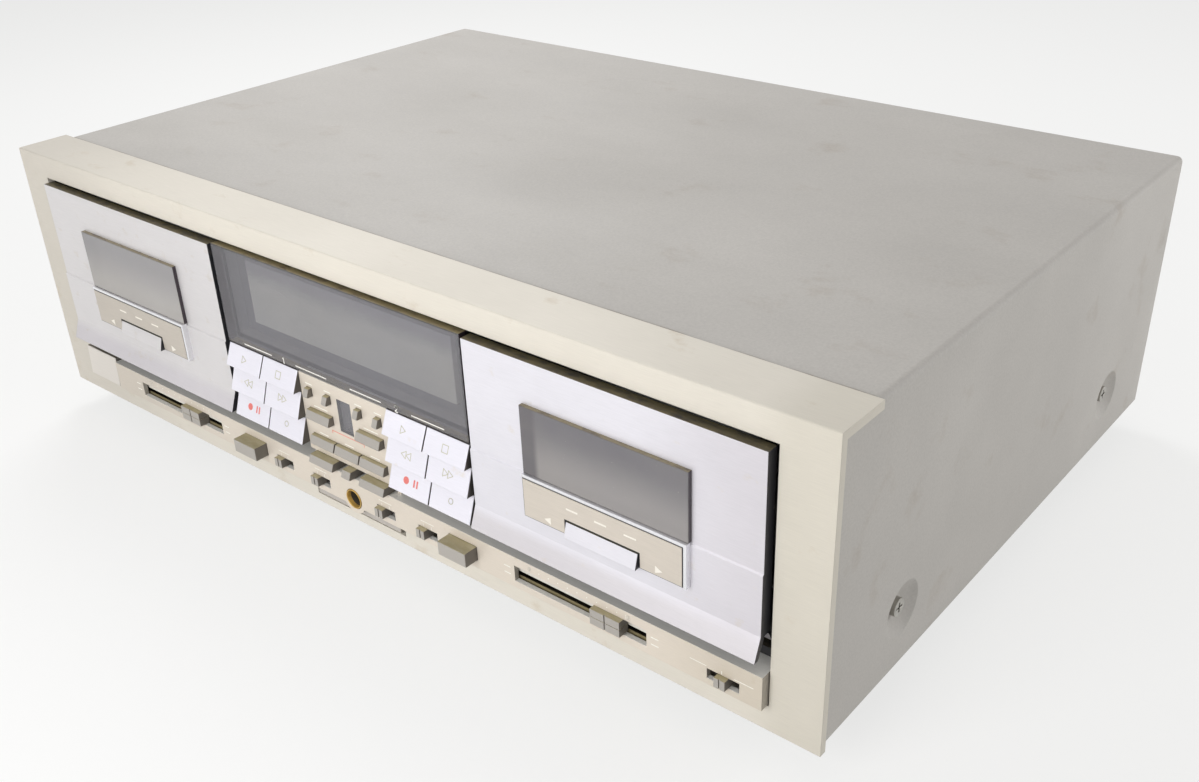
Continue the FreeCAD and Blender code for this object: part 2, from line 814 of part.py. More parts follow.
def switch_places():
    """Name, slot centre, rest place and slot width of each slide switch."""
    four = [("tape_1", "-switch_outer"), ("noise_1", "-switch_inner"), ("noise_2", "switch_inner"),
            ("tape_2", "switch_outer")]
    places = [(f"switch_{name}", middle, f"{middle} - {SWITCH_SHIFT}", "switch_slot_width")
              for name, middle in four]
    return places + [("switch_timer", TIMER_X, TIMER_X, "timer_slot_width")]


# Black frame behind the front panel: it carries the doors, keys and buttons
def guide(x, z, width, height, travel=0):
    """A hole through the frame plate for a stem, longer along x by its travel."""
    return block(around(x, f"{width} + 2 * guide_gap + {travel}"),
                 ("frame_setback - overshoot", f"{FRAME_BACK} + overshoot"),
                 around(z, f"{height} + 2 * guide_gap"))


def front_frame():
    behind = f"{FRAME_BACK} + overshoot"
    outer = (f"-{FRAME_HALF}", FRAME_HALF)
    tall = (CHASSIS_FLOOR, FRAME_TOP)
    plate = block(outer, ("frame_setback", FRAME_BACK), tall)
    ring = cut(block(outer, ("fascia_thickness", "frame_setback"), tall),
               block((f"-{OPENING_HALF} - overshoot", f"{OPENING_HALF} + overshoot"),
                     ("fascia_thickness - overshoot", "frame_setback + overshoot"),
                     ("bottom_border - overshoot", f"{OPENING_TOP} + overshoot")))
    rib_half = f"{DISPLAY_HALF} - rib_thickness / 2"
    ribs = cut(block((f"-({rib_half})", rib_half), (DISPLAY_BACK, "frame_setback"),
                     ("display_bottom + rib_inset", "display_top - rib_inset")),
               block((f"rib_thickness - ({rib_half})", f"{rib_half} - rib_thickness"),
                     (f"{DISPLAY_BACK} - overshoot", "frame_setback + overshoot"),
                     ("display_bottom + rib_inset + rib_thickness",
                      "display_top - rib_inset - rib_thickness")))
    wells = []
    holes = []
    for side in ("-", ""):
        middle = f"{side}{DECK_X}"
        around_door = around(middle, f"2 * ({WELL_HALF} + well_wall)")
        wells.append(block(around_door, ("frame_setback", "well_depth"),
                           ("well_bottom - well_wall", f"{WELL_TOP} + well_wall")))
        holes.append(block(around(middle, f"2 * {WELL_HALF}"),
                           ("frame_setback - overshoot", "well_depth + overshoot"),
                           ("well_bottom", WELL_TOP)))
        holes.append(rod("x", ("pivot_depth", "pivot_height"), "pivot_radius + pivot_gap",
                         f"{around_door[0]} - overshoot", f"{around_door[1]} + overshoot"))
    holes.append(block(around(0, f"{TUBE_WIDTH} + 2 * guide_gap"), ("frame_setback - overshoot", behind),
                       ("tube_bottom - guide_gap", "tube_bottom + tube_height + guide_gap")))
    for _, x, z, height in key_places():
        holes.append(guide(x, f"{z} + key_stem_rise + key_stem_height / 2", "key_stem_width",
                           "key_stem_height"))
    for _, x, z, _, height, _, _ in button_places():
        holes.append(guide(x, f"{z} + {height} / 2", "button_stem_width", "button_stem_height"))
    for side in ("-", ""):
        holes.append(guide(f"{side}eject_offset", "eject_bottom + eject_height / 2", "eject_stem_width",
                           "eject_stem_height"))
    holes.append(guide(POWER_X, f"{POWER_Z} + power_height / 2", "power_stem_width", "power_stem_height"))
    for _, x, _, z in level_places():
        holes.append(guide(x, f"{z} + {KNOB_HEIGHT} / 2", "knob_stem_width", "knob_stem_height",
                           "level_slot_width - level_knob_width"))
    for _, x, _, wide in switch_places():
        holes.append(guide(x, "switch_slot_bottom + switch_slot_height / 2", "knob_stem_width",
                           "knob_stem_height",
                           f"{wide} - switch_knob_width"))
    holes.append(rod("y", ("0", "jack_height"), "jack_radius + guide_gap", "fascia_thickness - overshoot",
                     behind))
    posts = [rod("y", (f"{side}({x})", z), "post_radius", FRAME_BACK, "front_board_setback")
             for side in ("", "-") for x, z in board_posts()]
    whole = cut(join(plate, ring, ribs, *wells, *posts), *holes)
    keep(group(*[common(whole, bar) for bar in frame_bars()]), "front_frame")


def frame_bars():
    """The frame is moulded in five bars that meet in line with the edges of the two tape wells."""
    depth = ("0", "front_board_setback")
    outer = FRAME_HALF
    inner = f"({DECK_X} - {WELL_HALF})"
    beyond = f"({DECK_X} + {WELL_HALF})"
    between = ("well_bottom", WELL_TOP)
    return [block((f"-{outer}", outer), depth, (CHASSIS_FLOOR, "well_bottom")),
            block((f"-{outer}", outer), depth, (WELL_TOP, FRAME_TOP)),
            block((f"-{outer}", f"-{beyond}"), depth, between),
            block((f"-{inner}", inner), depth, between),
            block((beyond, outer), depth, between)]


def board_posts():
    """Where the front board is held, as x and z on the right half."""
    return [("board_post_offset", "board_post_height"),
            (f"{WING_HALF} - board_post_inset", "board_post_height - board_post_inset")]


# Control panel along the bottom, in one moulding with the button panel above its middle
def opening(x, z, width, height, face):
    """A hole through the panel's front wall with a running gap all round."""
    return block(around(x, f"{width} + 2 * button_gap"),
                 (f"-{face} - overshoot", f"panel_wall - {face} + overshoot"),
                 around(f"{z} + {height} / 2", f"{height} + 2 * button_gap"))


def control_panel():
    to_frame = "frame_setback"
    front = block((PANEL_LEFT, PANEL_RIGHT), ("-panel_reach", PANEL_BACK), (PANEL_BOTTOM, "panel_top"))
    shelf = block((PANEL_LEFT, PANEL_RIGHT), ("-panel_reach", to_frame),
                  ("panel_top - panel_wall", "panel_top"))
    ends = [block(x, ("-panel_reach", to_frame), (PANEL_BOTTOM, "panel_top"))
            for x in ((PANEL_LEFT, f"{PANEL_LEFT} + panel_wall"),
                      (f"{PANEL_RIGHT} - panel_wall", PANEL_RIGHT))]
    half = "buttons_half"
    tower = cut(block((f"-{half}", half), ("-buttons_reach", to_frame), ("panel_top", "buttons_top")),
                block((f"panel_wall - {half}", f"{half} - panel_wall"),
                      (BUTTONS_BACK, f"{to_frame} + overshoot"),
                      ("panel_top - overshoot", "buttons_top - panel_wall")),
                block((f"-{half} - overshoot", f"{half} + overshoot"),
                      ("-buttons_reach - overshoot", BUTTONS_BACK),
                      ("panel_top", "buttons_bottom")))
    holes = []
    for _, x, z, width, height, face, _ in button_places():
        if face == "buttons_reach":
            holes.append(opening(x, z, width, height, face))
    holes.append(block(around(0, "indicator_width"),
                       ("-buttons_reach - overshoot", f"{BUTTONS_BACK} + overshoot"),
                       ("indicator_bottom", "indicator_top")))
    for side in ("-", ""):
        holes.append(opening(f"{side}eject_offset", "eject_bottom", "eject_width", "eject_height",
                             "panel_reach"))
        holes.append(block(around(level_middle(side), "level_slot_width"),
                           ("-panel_reach - overshoot", f"{PANEL_BACK} + overshoot"),
                           ("level_slot_bottom", "level_slot_bottom + level_slot_height")))
    for _, x, _, wide in switch_places():
        holes.append(block(around(x, wide), ("-panel_reach - overshoot", f"{PANEL_BACK} + overshoot"),
                           ("switch_slot_bottom", "switch_slot_bottom + switch_slot_height")))
    tongue_width = ("tongue_gap - notch_left", "notch_right - tongue_end")
    tongue = block(tongue_width, ("tongue_setback", "fascia_thickness"),
                   ("bottom_border - notch_drop + tongue_gap", f"{PANEL_BOTTOM} + panel_wall"))
    link = block(tongue_width, ("-panel_reach", "fascia_thickness"),
                 (PANEL_BOTTOM, f"{PANEL_BOTTOM} + panel_wall"))
    boss = rod("y", ("0", "jack_height"), "boss_radius", "-panel_reach", "tongue_setback + panel_wall")
    holes.append(rod("y", ("0", "jack_height"), "jack_radius + jack_gap", "-panel_reach - overshoot",
                     "fascia_thickness + overshoot"))
    keep(cut(join(front, shelf, *ends, tower, tongue, link, boss), *holes), "control_panel")


# Smoked display window, and the small indicator window in the button panel
def display_window():
    pane = new_body()
    half = DISPLAY_HALF
    pad(pane, "XZ_Plane", rectangle((f"-{half}", half), ("display_bottom", "display_top")),
        "-display_reach", DISPLAY_BACK)
    soften(pane, "Chamfer", on_front, "edge_bevel")
    small = block(around(0, "indicator_width"), ("-buttons_reach", f"{BUTTONS_BACK} - indicator_gap"),
                  ("indicator_bottom", "indicator_top"))
    keep(group(pane, small), "display_window")


# Fluorescent display tube on its own small board
def display_tube():
    glass = block(around(0, TUBE_WIDTH), ("frame_setback - tube_reach", FRAME_BACK),
                  ("tube_bottom", "tube_bottom + tube_height"))
    board = block(around(0, f"{TUBE_WIDTH} + 2 * tube_board_margin"),
                  (FRAME_BACK, f"{FRAME_BACK} + board_thickness"),
                  ("tube_bottom - tube_board_margin", "tube_bottom + tube_height + tube_board_margin"))
    keep(group(glass, board), "display_tube")


# Tape door with its flared lower lip, finger tab, cassette holder and pivot arms
def deck_door(number, side):
    body = new_body()
    half = "door_width / 2"
    front = "-door_reach"
    lower = "-(door_reach + door_step_reach)"
    profile = [(front, DOOR_TOP), (front, "door_step"), (lower, "door_step - door_step_reach"),
               (lower, "door_crease"), ("-lip_reach", "door_lip"),
               ("lip_thickness - lip_reach", "door_lip"),
               (f"{lower} + lip_thickness", "door_crease - lip_root"),
               ("door_back", "door_crease - lip_root"),
               ("door_back", DOOR_TOP)]
    pad(body, "YZ_Plane", profile, f"-{half}", half)
    pane = rectangle(("-window_width / 2", "window_width / 2"),
                     ("window_bottom", "window_bottom + window_height"))
    pocket(body, "XZ_Plane", pane, "-window_reach", "door_back + overshoot")
    tab = [(lower, "tab_bottom"), ("-tab_reach", "tab_bottom"), ("-bezel_reach", "tab_top"),
           (lower, "tab_top")]
    pad(body, "YZ_Plane", tab, "-tab_width / 2", "tab_width / 2")
    rail = "(cassette_width / 2 + cassette_gap)"
    rail_back = "door_back + cassette_gap + cassette_thickness + rail_margin"
    ledge = f"({CASSETTE_BOTTOM} - cassette_gap)"
    for mirror in (1, -1):
        walls = [(f"{mirror} * {rail}", f"{mirror} * ({rail} + rail_thickness)",
                  f"{ledge} - rail_thickness", f"{ledge} + rail_height"),
                 (f"{mirror} * ({rail} - ledge_length)", f"{mirror} * ({rail} + rail_thickness)",
                  f"{ledge} - rail_thickness", ledge)]
        for near, far, low, high in walls:
            pad(body, "XZ_Plane", rectangle((near, far), (low, high)), "door_back - overlap", rail_back)
        arm = [("door_back - overlap", "door_crease"), ("pivot_depth - arm_radius", "pivot_height"),
               ("pivot_depth - arm_radius / 2", "pivot_height - arm_radius"),
               ("pivot_depth + arm_radius / 2", "pivot_height - arm_radius"),
               ("pivot_depth + arm_radius", "pivot_height"),
               ("pivot_depth + arm_radius", "pivot_height + arm_height / 3"),
               ("door_back - overlap", "pivot_height + arm_height")]
        ends = [f"{mirror} * ({ARM_OUTER} - arm_thickness)", f"{mirror} * {ARM_OUTER}"]
        pad(body, "YZ_Plane", arm, *(ends if mirror > 0 else ends[::-1]))
    pin_half = f"({WELL_HALF} + well_wall - pin_end_gap)"
    pins = [rod("x", ("pivot_depth", "pivot_height"), "pivot_radius", low, high)
            for low, high in ((f"{ARM_OUTER} - overlap", pin_half),
                              (f"-{pin_half}", f"overlap - {ARM_OUTER}"))]
    keep(join(body, *pins), f"deck_{number}_door", f"{side}{DECK_X}")


def deck_window(number, side):
    body = new_body()
    pane = rectangle(("-window_width / 2", "window_width / 2"),
                     ("window_bottom", "window_bottom + window_height"))
    pad(body, "XZ_Plane", pane, "-window_reach", "window_back")
    soften(body, "Chamfer", on_front, "edge_bevel / 2")
    keep(body, f"deck_{number}_window", f"{side}{DECK_X}")


# Bright rimmed plate under the window, notched around the finger tab
def deck_bezel(number, side):
    body = new_body()
    half = "window_width / 2"
    notch = "(tab_width / 2 + tab_gap)"
    notch_top = "tab_top + tab_gap"
    frame = [(f"-{half}", "bezel_bottom"), (f"-{notch}", "bezel_bottom"), (f"-{notch}", notch_top),
             (notch, notch_top), (notch, "bezel_bottom"), (half, "bezel_bottom"), (half, "bezel_top"),
             (f"-{half}", "bezel_top")]
    seat = "-(door_reach + door_step_reach)"
    pad(body, "XZ_Plane", frame, "-bezel_reach", seat)
    plate = [(f"-{half} - overshoot", "bezel_bottom - overshoot"),
             (f"-{notch}", "bezel_bottom - overshoot"), (f"-{notch}", notch_top),
             (notch, notch_top), (notch, "bezel_bottom - overshoot"),
             (f"{half} - bezel_rim", "bezel_bottom - overshoot"),
             (f"{half} - bezel_rim", "bezel_top - bezel_rim"),
             (f"-{half} - overshoot", "bezel_top - bezel_rim")]
    pocket(body, "XZ_Plane", plate, "-bezel_reach - overshoot", "bezel_inset - bezel_reach")
    keep(body, f"deck_{number}_bezel", f"{side}{DECK_X}")


# Reel spindle: splined hub, reel table and the shaft that runs in the mechanism plate
def reel_spindle(label, x):
    middle = (0, 0)
    hub = rod("y", middle, "spindle_radius - spline_length", "spindle_reach", TABLE_BACK)
    table = rod("y", middle, "table_radius", f"{TABLE_BACK} - table_thickness", TABLE_BACK)
    shaft = rod("y", middle, "shaft_radius", TABLE_BACK, f"{MECHANISM_BACK} + shaft_tail")
    splines = []
    for number in range(SPLINE_COUNT):
        blade = block(around(0, "spline_width"), ("spindle_reach + spline_setback", TABLE_BACK),
                      ("0", "spindle_radius"))
        turned = group(blade)
        turned.Placement.Rotation = Rotation(Vector(0, 1, 0), 360 * number / SPLINE_COUNT)
        splines.append(turned)
    keep(join(hub, table, shaft, *splines), label, x, HUB_Z)


# Tape mechanism of each deck: plate, head, and by each spindle a capstan with its flywheel and a pinch roller
def mechanism(side):
    middle = f"{side}{DECK_X}"
    plate = block(around(middle, "2 * mechanism_half"), ("well_depth", MECHANISM_BACK),
                  ("mechanism_bottom", "mechanism_bottom + mechanism_height"))
    through = ("well_depth - overshoot", f"{MECHANISM_BACK} + overshoot")
    flywheel = (f"{MECHANISM_BACK} + flywheel_gap", f"{MECHANISM_BACK} + flywheel_gap + flywheel_thickness")
    bores = []
    parts = [block(around(middle, "head_width"), ("head_reach", "well_depth"),
                   (f"{CASSETTE_BOTTOM} - head_gap - head_height", f"{CASSETTE_BOTTOM} - head_gap")),
             rod("y", (middle, "motor_height"), "motor_radius", MECHANISM_BACK,
                 f"{MECHANISM_BACK} + motor_length")]
    for mirror in ("-", "+"):
        spindle = (f"{middle} {mirror} hub_pitch / 2", HUB_Z)
        capstan = (f"{middle} {mirror} capstan_pitch / 2", "capstan_height")
        bores.append(rod("y", spindle, "shaft_radius + shaft_gap", *through))
        bores.append(rod("y", capstan, "capstan_radius + shaft_gap", *through))
        parts.append(join(rod("y", capstan, "capstan_radius", "capstan_reach", flywheel[1]),
                          rod("y", capstan, "flywheel_radius", *flywheel)))
        roller = (capstan[0], "capstan_height - roller_drop")
        front = "capstan_reach + roller_setback"
        parts.append(join(rod("y", roller, "roller_radius", front, f"{front} + roller_thickness"),
                          rod("y", roller, "capstan_radius", "capstan_reach", "well_depth")))
    return [cut(plate, *bores), *parts]


def tape_mechanisms():
    keep(group(*mechanism("-"), *mechanism("")), "tape_mechanisms")


# Wedge-faced transport key with a stem that runs in the frame
def transport_key(label, x, z, height):
    body = new_body()
    profile = [("-key_bottom_reach", 0), ("key_back", 0), ("key_back", height), ("-key_top_reach", height)]
    pad(body, "YZ_Plane", profile, f"-{KEY_WIDTH} / 2", f"{KEY_WIDTH} / 2")
    soften(body, "Fillet", in_front, "key_round")
    stem = rectangle(("-key_stem_width / 2", "key_stem_width / 2"),
                     ("key_stem_rise", "key_stem_rise + key_stem_height"))
    pad(body, "XZ_Plane", stem, "key_back - overlap", "stem_reach")
    keep(body, label, x, z)


def small_button(label, x, z, width, height, face, reach):
    body = new_body()
    profile = [(f"-({face} + {reach} - button_round)", 0), ("button_back", 0), ("button_back", height),
               (f"-({face} + {reach} - button_slope)", height), (f"-({face} + {reach})", "button_nose")]
    pad(body, "YZ_Plane", profile, f"-{width} / 2", f"{width} / 2")
    soften(body, "Fillet", in_front_upright, "button_round")
    stem = rectangle(("-button_stem_width / 2", "button_stem_width / 2"),
                     around(f"{height} / 2", "button_stem_height"))
    pad(body, "XZ_Plane", stem, "button_back - overlap", "stem_reach")
    keep(body, label, x, z)


def eject_button(number, side):
    body = new_body()
    cap = rectangle(("-eject_width / 2", "eject_width / 2"), (0, "eject_height"))
    pad(body, "XZ_Plane", cap, "-eject_reach", "eject_back")
    soften(body, "Fillet", on_front, "button_round")
    stem = rectangle(("-eject_stem_width / 2", "eject_stem_width / 2"),
                     around("eject_height / 2", "eject_stem_height"))
    pad(body, "XZ_Plane", stem, "eject_back - overlap", "stem_reach")
    keep(body, f"eject_button_{number}", f"{side}eject_offset", "eject_bottom")


def power_button():
    body = new_body()
    profile = [("-power_bottom_reach", 0), ("power_back", 0), ("power_back", "power_height"),
               ("-power_top_reach", "power_height")]
    pad(body, "YZ_Plane", profile, "-power_width / 2", "power_width / 2")
    soften(body, "Fillet", in_front, "key_round")
    stem = rectangle(("-power_stem_width / 2", "power_stem_width / 2"),
                     around("power_height / 2", "power_stem_height"))
    pad(body, "XZ_Plane", stem, "power_back - overlap", "stem_reach")
    keep(body, "power_button", POWER_X, POWER_Z)


def sliding_knob(label, x, z, width, height):
    """A flat slider knob with an index groove down its face and a stem behind."""
    body = new_body()
    face = "-(panel_reach + knob_reach)"
    pad(body, "XZ_Plane", rectangle((f"-{width} / 2", f"{width} / 2"), (0, height)), face, "-knob_back")
    stem = rectangle(("-knob_stem_width / 2", "knob_stem_width / 2"),
                     around(f"{height} / 2", "knob_stem_height"))
    pad(body, "XZ_Plane", stem, "-knob_back - overlap", "stem_reach")
    groove = rectangle(("-groove_width / 2", "groove_width / 2"), ("-overshoot", f"{height} + overshoot"))
    pocket(body, "XZ_Plane", groove, f"{face} - overshoot", f"{face} + groove_depth")
    keep(body, label, x, z)


# Headphone socket: brass sleeve through the panel and the frame, flared at its mouth
def headphone_jack():
    spot = ("0", "jack_height")
    mouth = "-panel_reach - jack_reach"
    sleeve = rod("y", spot, "jack_radius", mouth, FRAME_BACK)
    box_size = "jack_block"
    back = block(around(0, box_size), (FRAME_BACK, "jack_depth + jack_wall"),
                 around("jack_height", box_size))
    bore = rod("y", spot, "jack_bore", f"{mouth} - overshoot", "jack_depth")
    flare = doc.addObject("Part::Cone", "Flare")
    flare.Placement.Rotation = TURNS["y"]
    bind(flare, "Radius1", "jack_bore + jack_flare")
    bind(flare, "Radius2", "jack_bore")
    bind(flare, "Height", "jack_flare_depth")
    place(flare, 0, mouth, "jack_height")
    keep(cut(join(sleeve, back), bore, flare), "headphone_jack")


# Circuit boards: the upright one behind the keys, and the main one with its power parts
def front_board():
    depth = ("front_board_setback", "front_board_setback + board_thickness")
    upright = block((f"-{FRONT_BOARD_HALF}", FRONT_BOARD_HALF), depth,
                    ("front_board_bottom", "front_board_top"))
    wings = block((f"-{WING_HALF}", WING_HALF), depth, ("front_board_bottom", "front_board_shoulder"))
    switches = []
    for _, x, z, _ in key_places():
        switches.append((x, f"{z} + key_stem_rise + key_stem_height / 2"))
    tacts = [block(around(x, "tact_size"), ("stem_reach + tact_gap", "front_board_setback"),
                   around(z, "tact_size"))
             for x, z in switches]
    pots = [block(around(level_middle(side), "pot_length"), ("stem_reach + pot_gap", "front_board_setback"),
                  around("level_slot_bottom + level_slot_height / 2", "pot_height")) for side in ("", "-")]
    gap = block(around(0, "jack_block + 2 * frame_gap"),
                (f"{depth[0]} - overshoot", f"{depth[1]} + overshoot"),
                around("jack_height", "jack_block + 2 * frame_gap"))
    return cut(join(upright, wings, *tacts, *pots), gap)


def power_board():
    board = block((f"-{MAIN_BOARD_HALF}", MAIN_BOARD_HALF), ("main_board_front", "main_board_back"),
                  ("main_board_height", MAIN_BOARD_TOP))
    middle = "(main_board_front + main_board_back) / 2"
    coil = block(around(f"-{TRANSFORMER_X}", "transformer_width - 2 * coil_inset"),
                 around(middle, "transformer_depth"),
                 (MAIN_BOARD_TOP, f"{MAIN_BOARD_TOP} + transformer_height - core_rise"))
    core = block(around(f"-{TRANSFORMER_X}", "transformer_width"), around(middle, "core_thickness"),
                 (MAIN_BOARD_TOP, f"{MAIN_BOARD_TOP} + transformer_height"))
    sink_place = "main_board_front + sink_setback"
    sink_tall = (MAIN_BOARD_TOP, f"{MAIN_BOARD_TOP} + sink_height")
    sink = block(around(0, "sink_width"), around(sink_place, "fin_thickness * 2"), sink_tall)
    fins = []
    for number in range(FIN_COUNT):
        fin_place = f"({number} - {FIN_COUNT // 2}) * fin_pitch"
        fins.append(block(around(fin_place, "fin_thickness"), around(sink_place, "fin_depth"), sink_tall))
    cans = []
    for number in range(CAN_COUNT):
        can_place = f"can_offset + ({number} - {(CAN_COUNT - 1) / 2}) * can_pitch"
        cans.append(rod("z", (can_place, middle), "can_radius", MAIN_BOARD_TOP,
                        f"{MAIN_BOARD_TOP} + can_height"))
    return join(board, coil, core, sink, *fins, *cans)


def main_board():
    keep(group(front_board(), power_board()), "main_board")


# The whole deck
front_fascia()
top_cover()
cover_screws()
bottom_chassis()
rear_panel()
rear_jacks()
feet()
front_frame()
control_panel()
display_window()
display_tube()
tape_mechanisms()
main_board()
headphone_jack()
power_button()
for deck_number, deck_side in ((1, "-"), (2, "")):
    deck_door(deck_number, deck_side)
    deck_window(deck_number, deck_side)
    deck_bezel(deck_number, deck_side)
    reel_spindle(f"reel_{deck_number}_left", f"{deck_side}{DECK_X} - hub_pitch / 2")
    reel_spindle(f"reel_{deck_number}_right", f"{deck_side}{DECK_X} + hub_pitch / 2")
    eject_button(deck_number, deck_side)
for key in key_places():
    transport_key(*key)
for button in button_places():
    small_button(*button)
for knob_name, _, knob_x, knob_z in level_places():
    sliding_knob(knob_name, knob_x, knob_z, "level_knob_width", KNOB_HEIGHT)
for knob_name, _, knob_x, _ in switch_places():
    sliding_knob(knob_name, knob_x, "switch_slot_bottom + level_gap", "switch_knob_width", SWITCH_HEIGHT)
doc.recompute()

failed = [item.Label for item in doc.Objects if {"Invalid", "Error"} & set(item.State)]
if failed:
    raise RuntimeError(f"features that failed: {failed}")
for piece in PIECES:
    if piece.Shape.isNull() or not piece.Shape.isValid():
        raise RuntimeError(f"{piece.Label} has no valid shape")

os.makedirs("parts", exist_ok=True)
for piece in PIECES:
    piece.Shape.exportStep(f"parts/{piece.Label}.step")
print(len(PIECES), "sub-parts written")
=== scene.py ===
import math

import bmesh
import bpy
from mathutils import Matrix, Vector
from mathutils.bvhtree import BVHTree


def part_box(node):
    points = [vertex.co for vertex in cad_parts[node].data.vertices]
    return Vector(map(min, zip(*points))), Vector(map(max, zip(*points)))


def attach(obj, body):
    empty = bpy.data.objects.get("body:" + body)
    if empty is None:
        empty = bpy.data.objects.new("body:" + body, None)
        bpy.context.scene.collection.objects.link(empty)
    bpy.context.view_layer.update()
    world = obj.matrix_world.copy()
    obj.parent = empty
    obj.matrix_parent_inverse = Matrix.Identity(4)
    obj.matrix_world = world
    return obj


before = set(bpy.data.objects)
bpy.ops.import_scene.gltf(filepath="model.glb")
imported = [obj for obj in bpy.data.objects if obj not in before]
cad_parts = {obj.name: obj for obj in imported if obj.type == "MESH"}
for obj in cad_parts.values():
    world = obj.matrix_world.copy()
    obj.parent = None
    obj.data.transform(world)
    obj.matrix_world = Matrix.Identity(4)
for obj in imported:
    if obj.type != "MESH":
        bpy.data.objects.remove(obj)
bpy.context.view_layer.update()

# Twin cassette deck: the finishes of its parts, the printed marks and the small trim on them.
# Places on the object are front-panel millimetres: x from the middle of the front panel,
# y back from its face and z up from its lower edge. The helpers turn them into metres.

MM = 0.001
PANEL_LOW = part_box("front_fascia")[0]
ORIGIN = Vector((0, PANEL_LOW.y, PANEL_LOW.z))
RIGHT, UP, BACK = Vector((1, 0, 0)), Vector((0, 0, 1)), Vector((0, 1, 0))
AHEAD = -60
DECKS = (1, 2)


def spot(x, y, z):
    """A place in front-panel millimetres, as metres in the frame."""
    return ORIGIN + Vector((x, y, z)) * MM


def panel_box(node):
    """The lowest and highest corner of a part in front-panel millimetres."""
    return [(corner - ORIGIN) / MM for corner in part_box(node)]


def on_face(node, x, z):
    """Where a line from the front at x and z meets a part, and the direction up its face there."""
    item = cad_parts[node]
    tree = BVHTree.FromPolygons([vertex.co for vertex in item.data.vertices],
                                [face.vertices for face in item.data.polygons])
    point, normal, _, _ = tree.ray_cast(spot(x, AHEAD, z), BACK)
    return point, normal.cross(RIGHT).normalized()


# Materials: how far a face looks up or aside before that shows, and the sizes of settled dirt in millimetres
FACING_UP, FACING_ASIDE = (0.75, 0.95), (-0.5, -0.15)
DUST_CLUMP, GRIME_RUN, HAZE = 2.2, 5, 30


def linear(code):
    """The linear colour, with full alpha, of an sRGB hex code."""
    shares = [int(code[i:i + 2], 16) / 255 for i in (1, 3, 5)]
    return [s / 12.92 if s <= 0.04045 else ((s + 0.055) / 1.055) ** 2.4 for s in shares] + [1]


def add(tree, kind, links=(), out=0, **settings):
    """Adds a node with its settings and links, and gives one of its outputs."""
    node = tree.nodes.new(kind)
    for word, value in settings.items():
        setattr(node, word, value)
    for socket, value in dict(links).items():
        if isinstance(value, bpy.types.NodeSocket):
            tree.links.new(value, node.inputs[socket])
        else:
            node.inputs[socket].default_value = value
    return node.outputs[out] if node.outputs else node


def blank(name):
    """A new material with an empty tree."""
    material = bpy.data.materials.new(name)
    material.use_nodes = True
    material.node_tree.nodes.clear()
    return material, material.node_tree


def patches(tree, size, stretch=(1, 1, 1), seed=0.0, detail=2.0, between=(0.3, 0.7), share=(0.0, 1.0)):
    """Grain or dirt in patches of a size in millimetres, longer along each axis by stretch."""
    scale = [1 / (size * MM * longer) for longer in stretch]
    place = add(tree, "ShaderNodeMapping", {"Vector": add(tree, "ShaderNodeTexCoord", out="Object"),
                                            "Scale": scale, "Location": (seed, seed, seed)})
    noise = add(tree, "ShaderNodeTexNoise", {"Vector": place, "Scale": 1.0, "Detail": detail,
                                             "Roughness": 0.6})
    return add(tree, "ShaderNodeMapRange", {"Value": noise, "From Min": between[0], "From Max": between[1],
                                            "To Min": share[0], "To Max": share[1]})


def coat(tree, base, colour, *shares):
    """Lays a colour over another by the product of some shares."""
    share = shares[0]
    for other in shares[1:]:
        share = add(tree, "ShaderNodeMath", {0: share, 1: other}, operation="MULTIPLY")
    return add(tree, "ShaderNodeMix", {0: share, 6: base, 7: linear(colour)}, out=2, data_type="RGBA")


def looking(tree, axis, between):
    """0 where the surface looks as little along an axis as the first number, 1 from the second on."""
    aim = add(tree, "ShaderNodeSeparateXYZ", {0: add(tree, "ShaderNodeTexCoord", out="Normal")}, out=axis)
    return add(tree, "ShaderNodeMapRange", {"Value": aim, "From Min": between[0], "From Max": between[1]})


def along(tree, axis, start, end):
    """Rises from 0 at one place on the panel's axis to 1 at another, in millimetres."""
    place = add(tree, "ShaderNodeSeparateXYZ", {0: add(tree, "ShaderNodeTexCoord", out="Object")}, out=axis)
    shift = getattr(ORIGIN, axis.lower())
    return add(tree, "ShaderNodeMapRange", {"Value": place, "From Min": shift + start * MM,
                                            "From Max": shift + end * MM}, interpolation_type="SMOOTHSTEP")


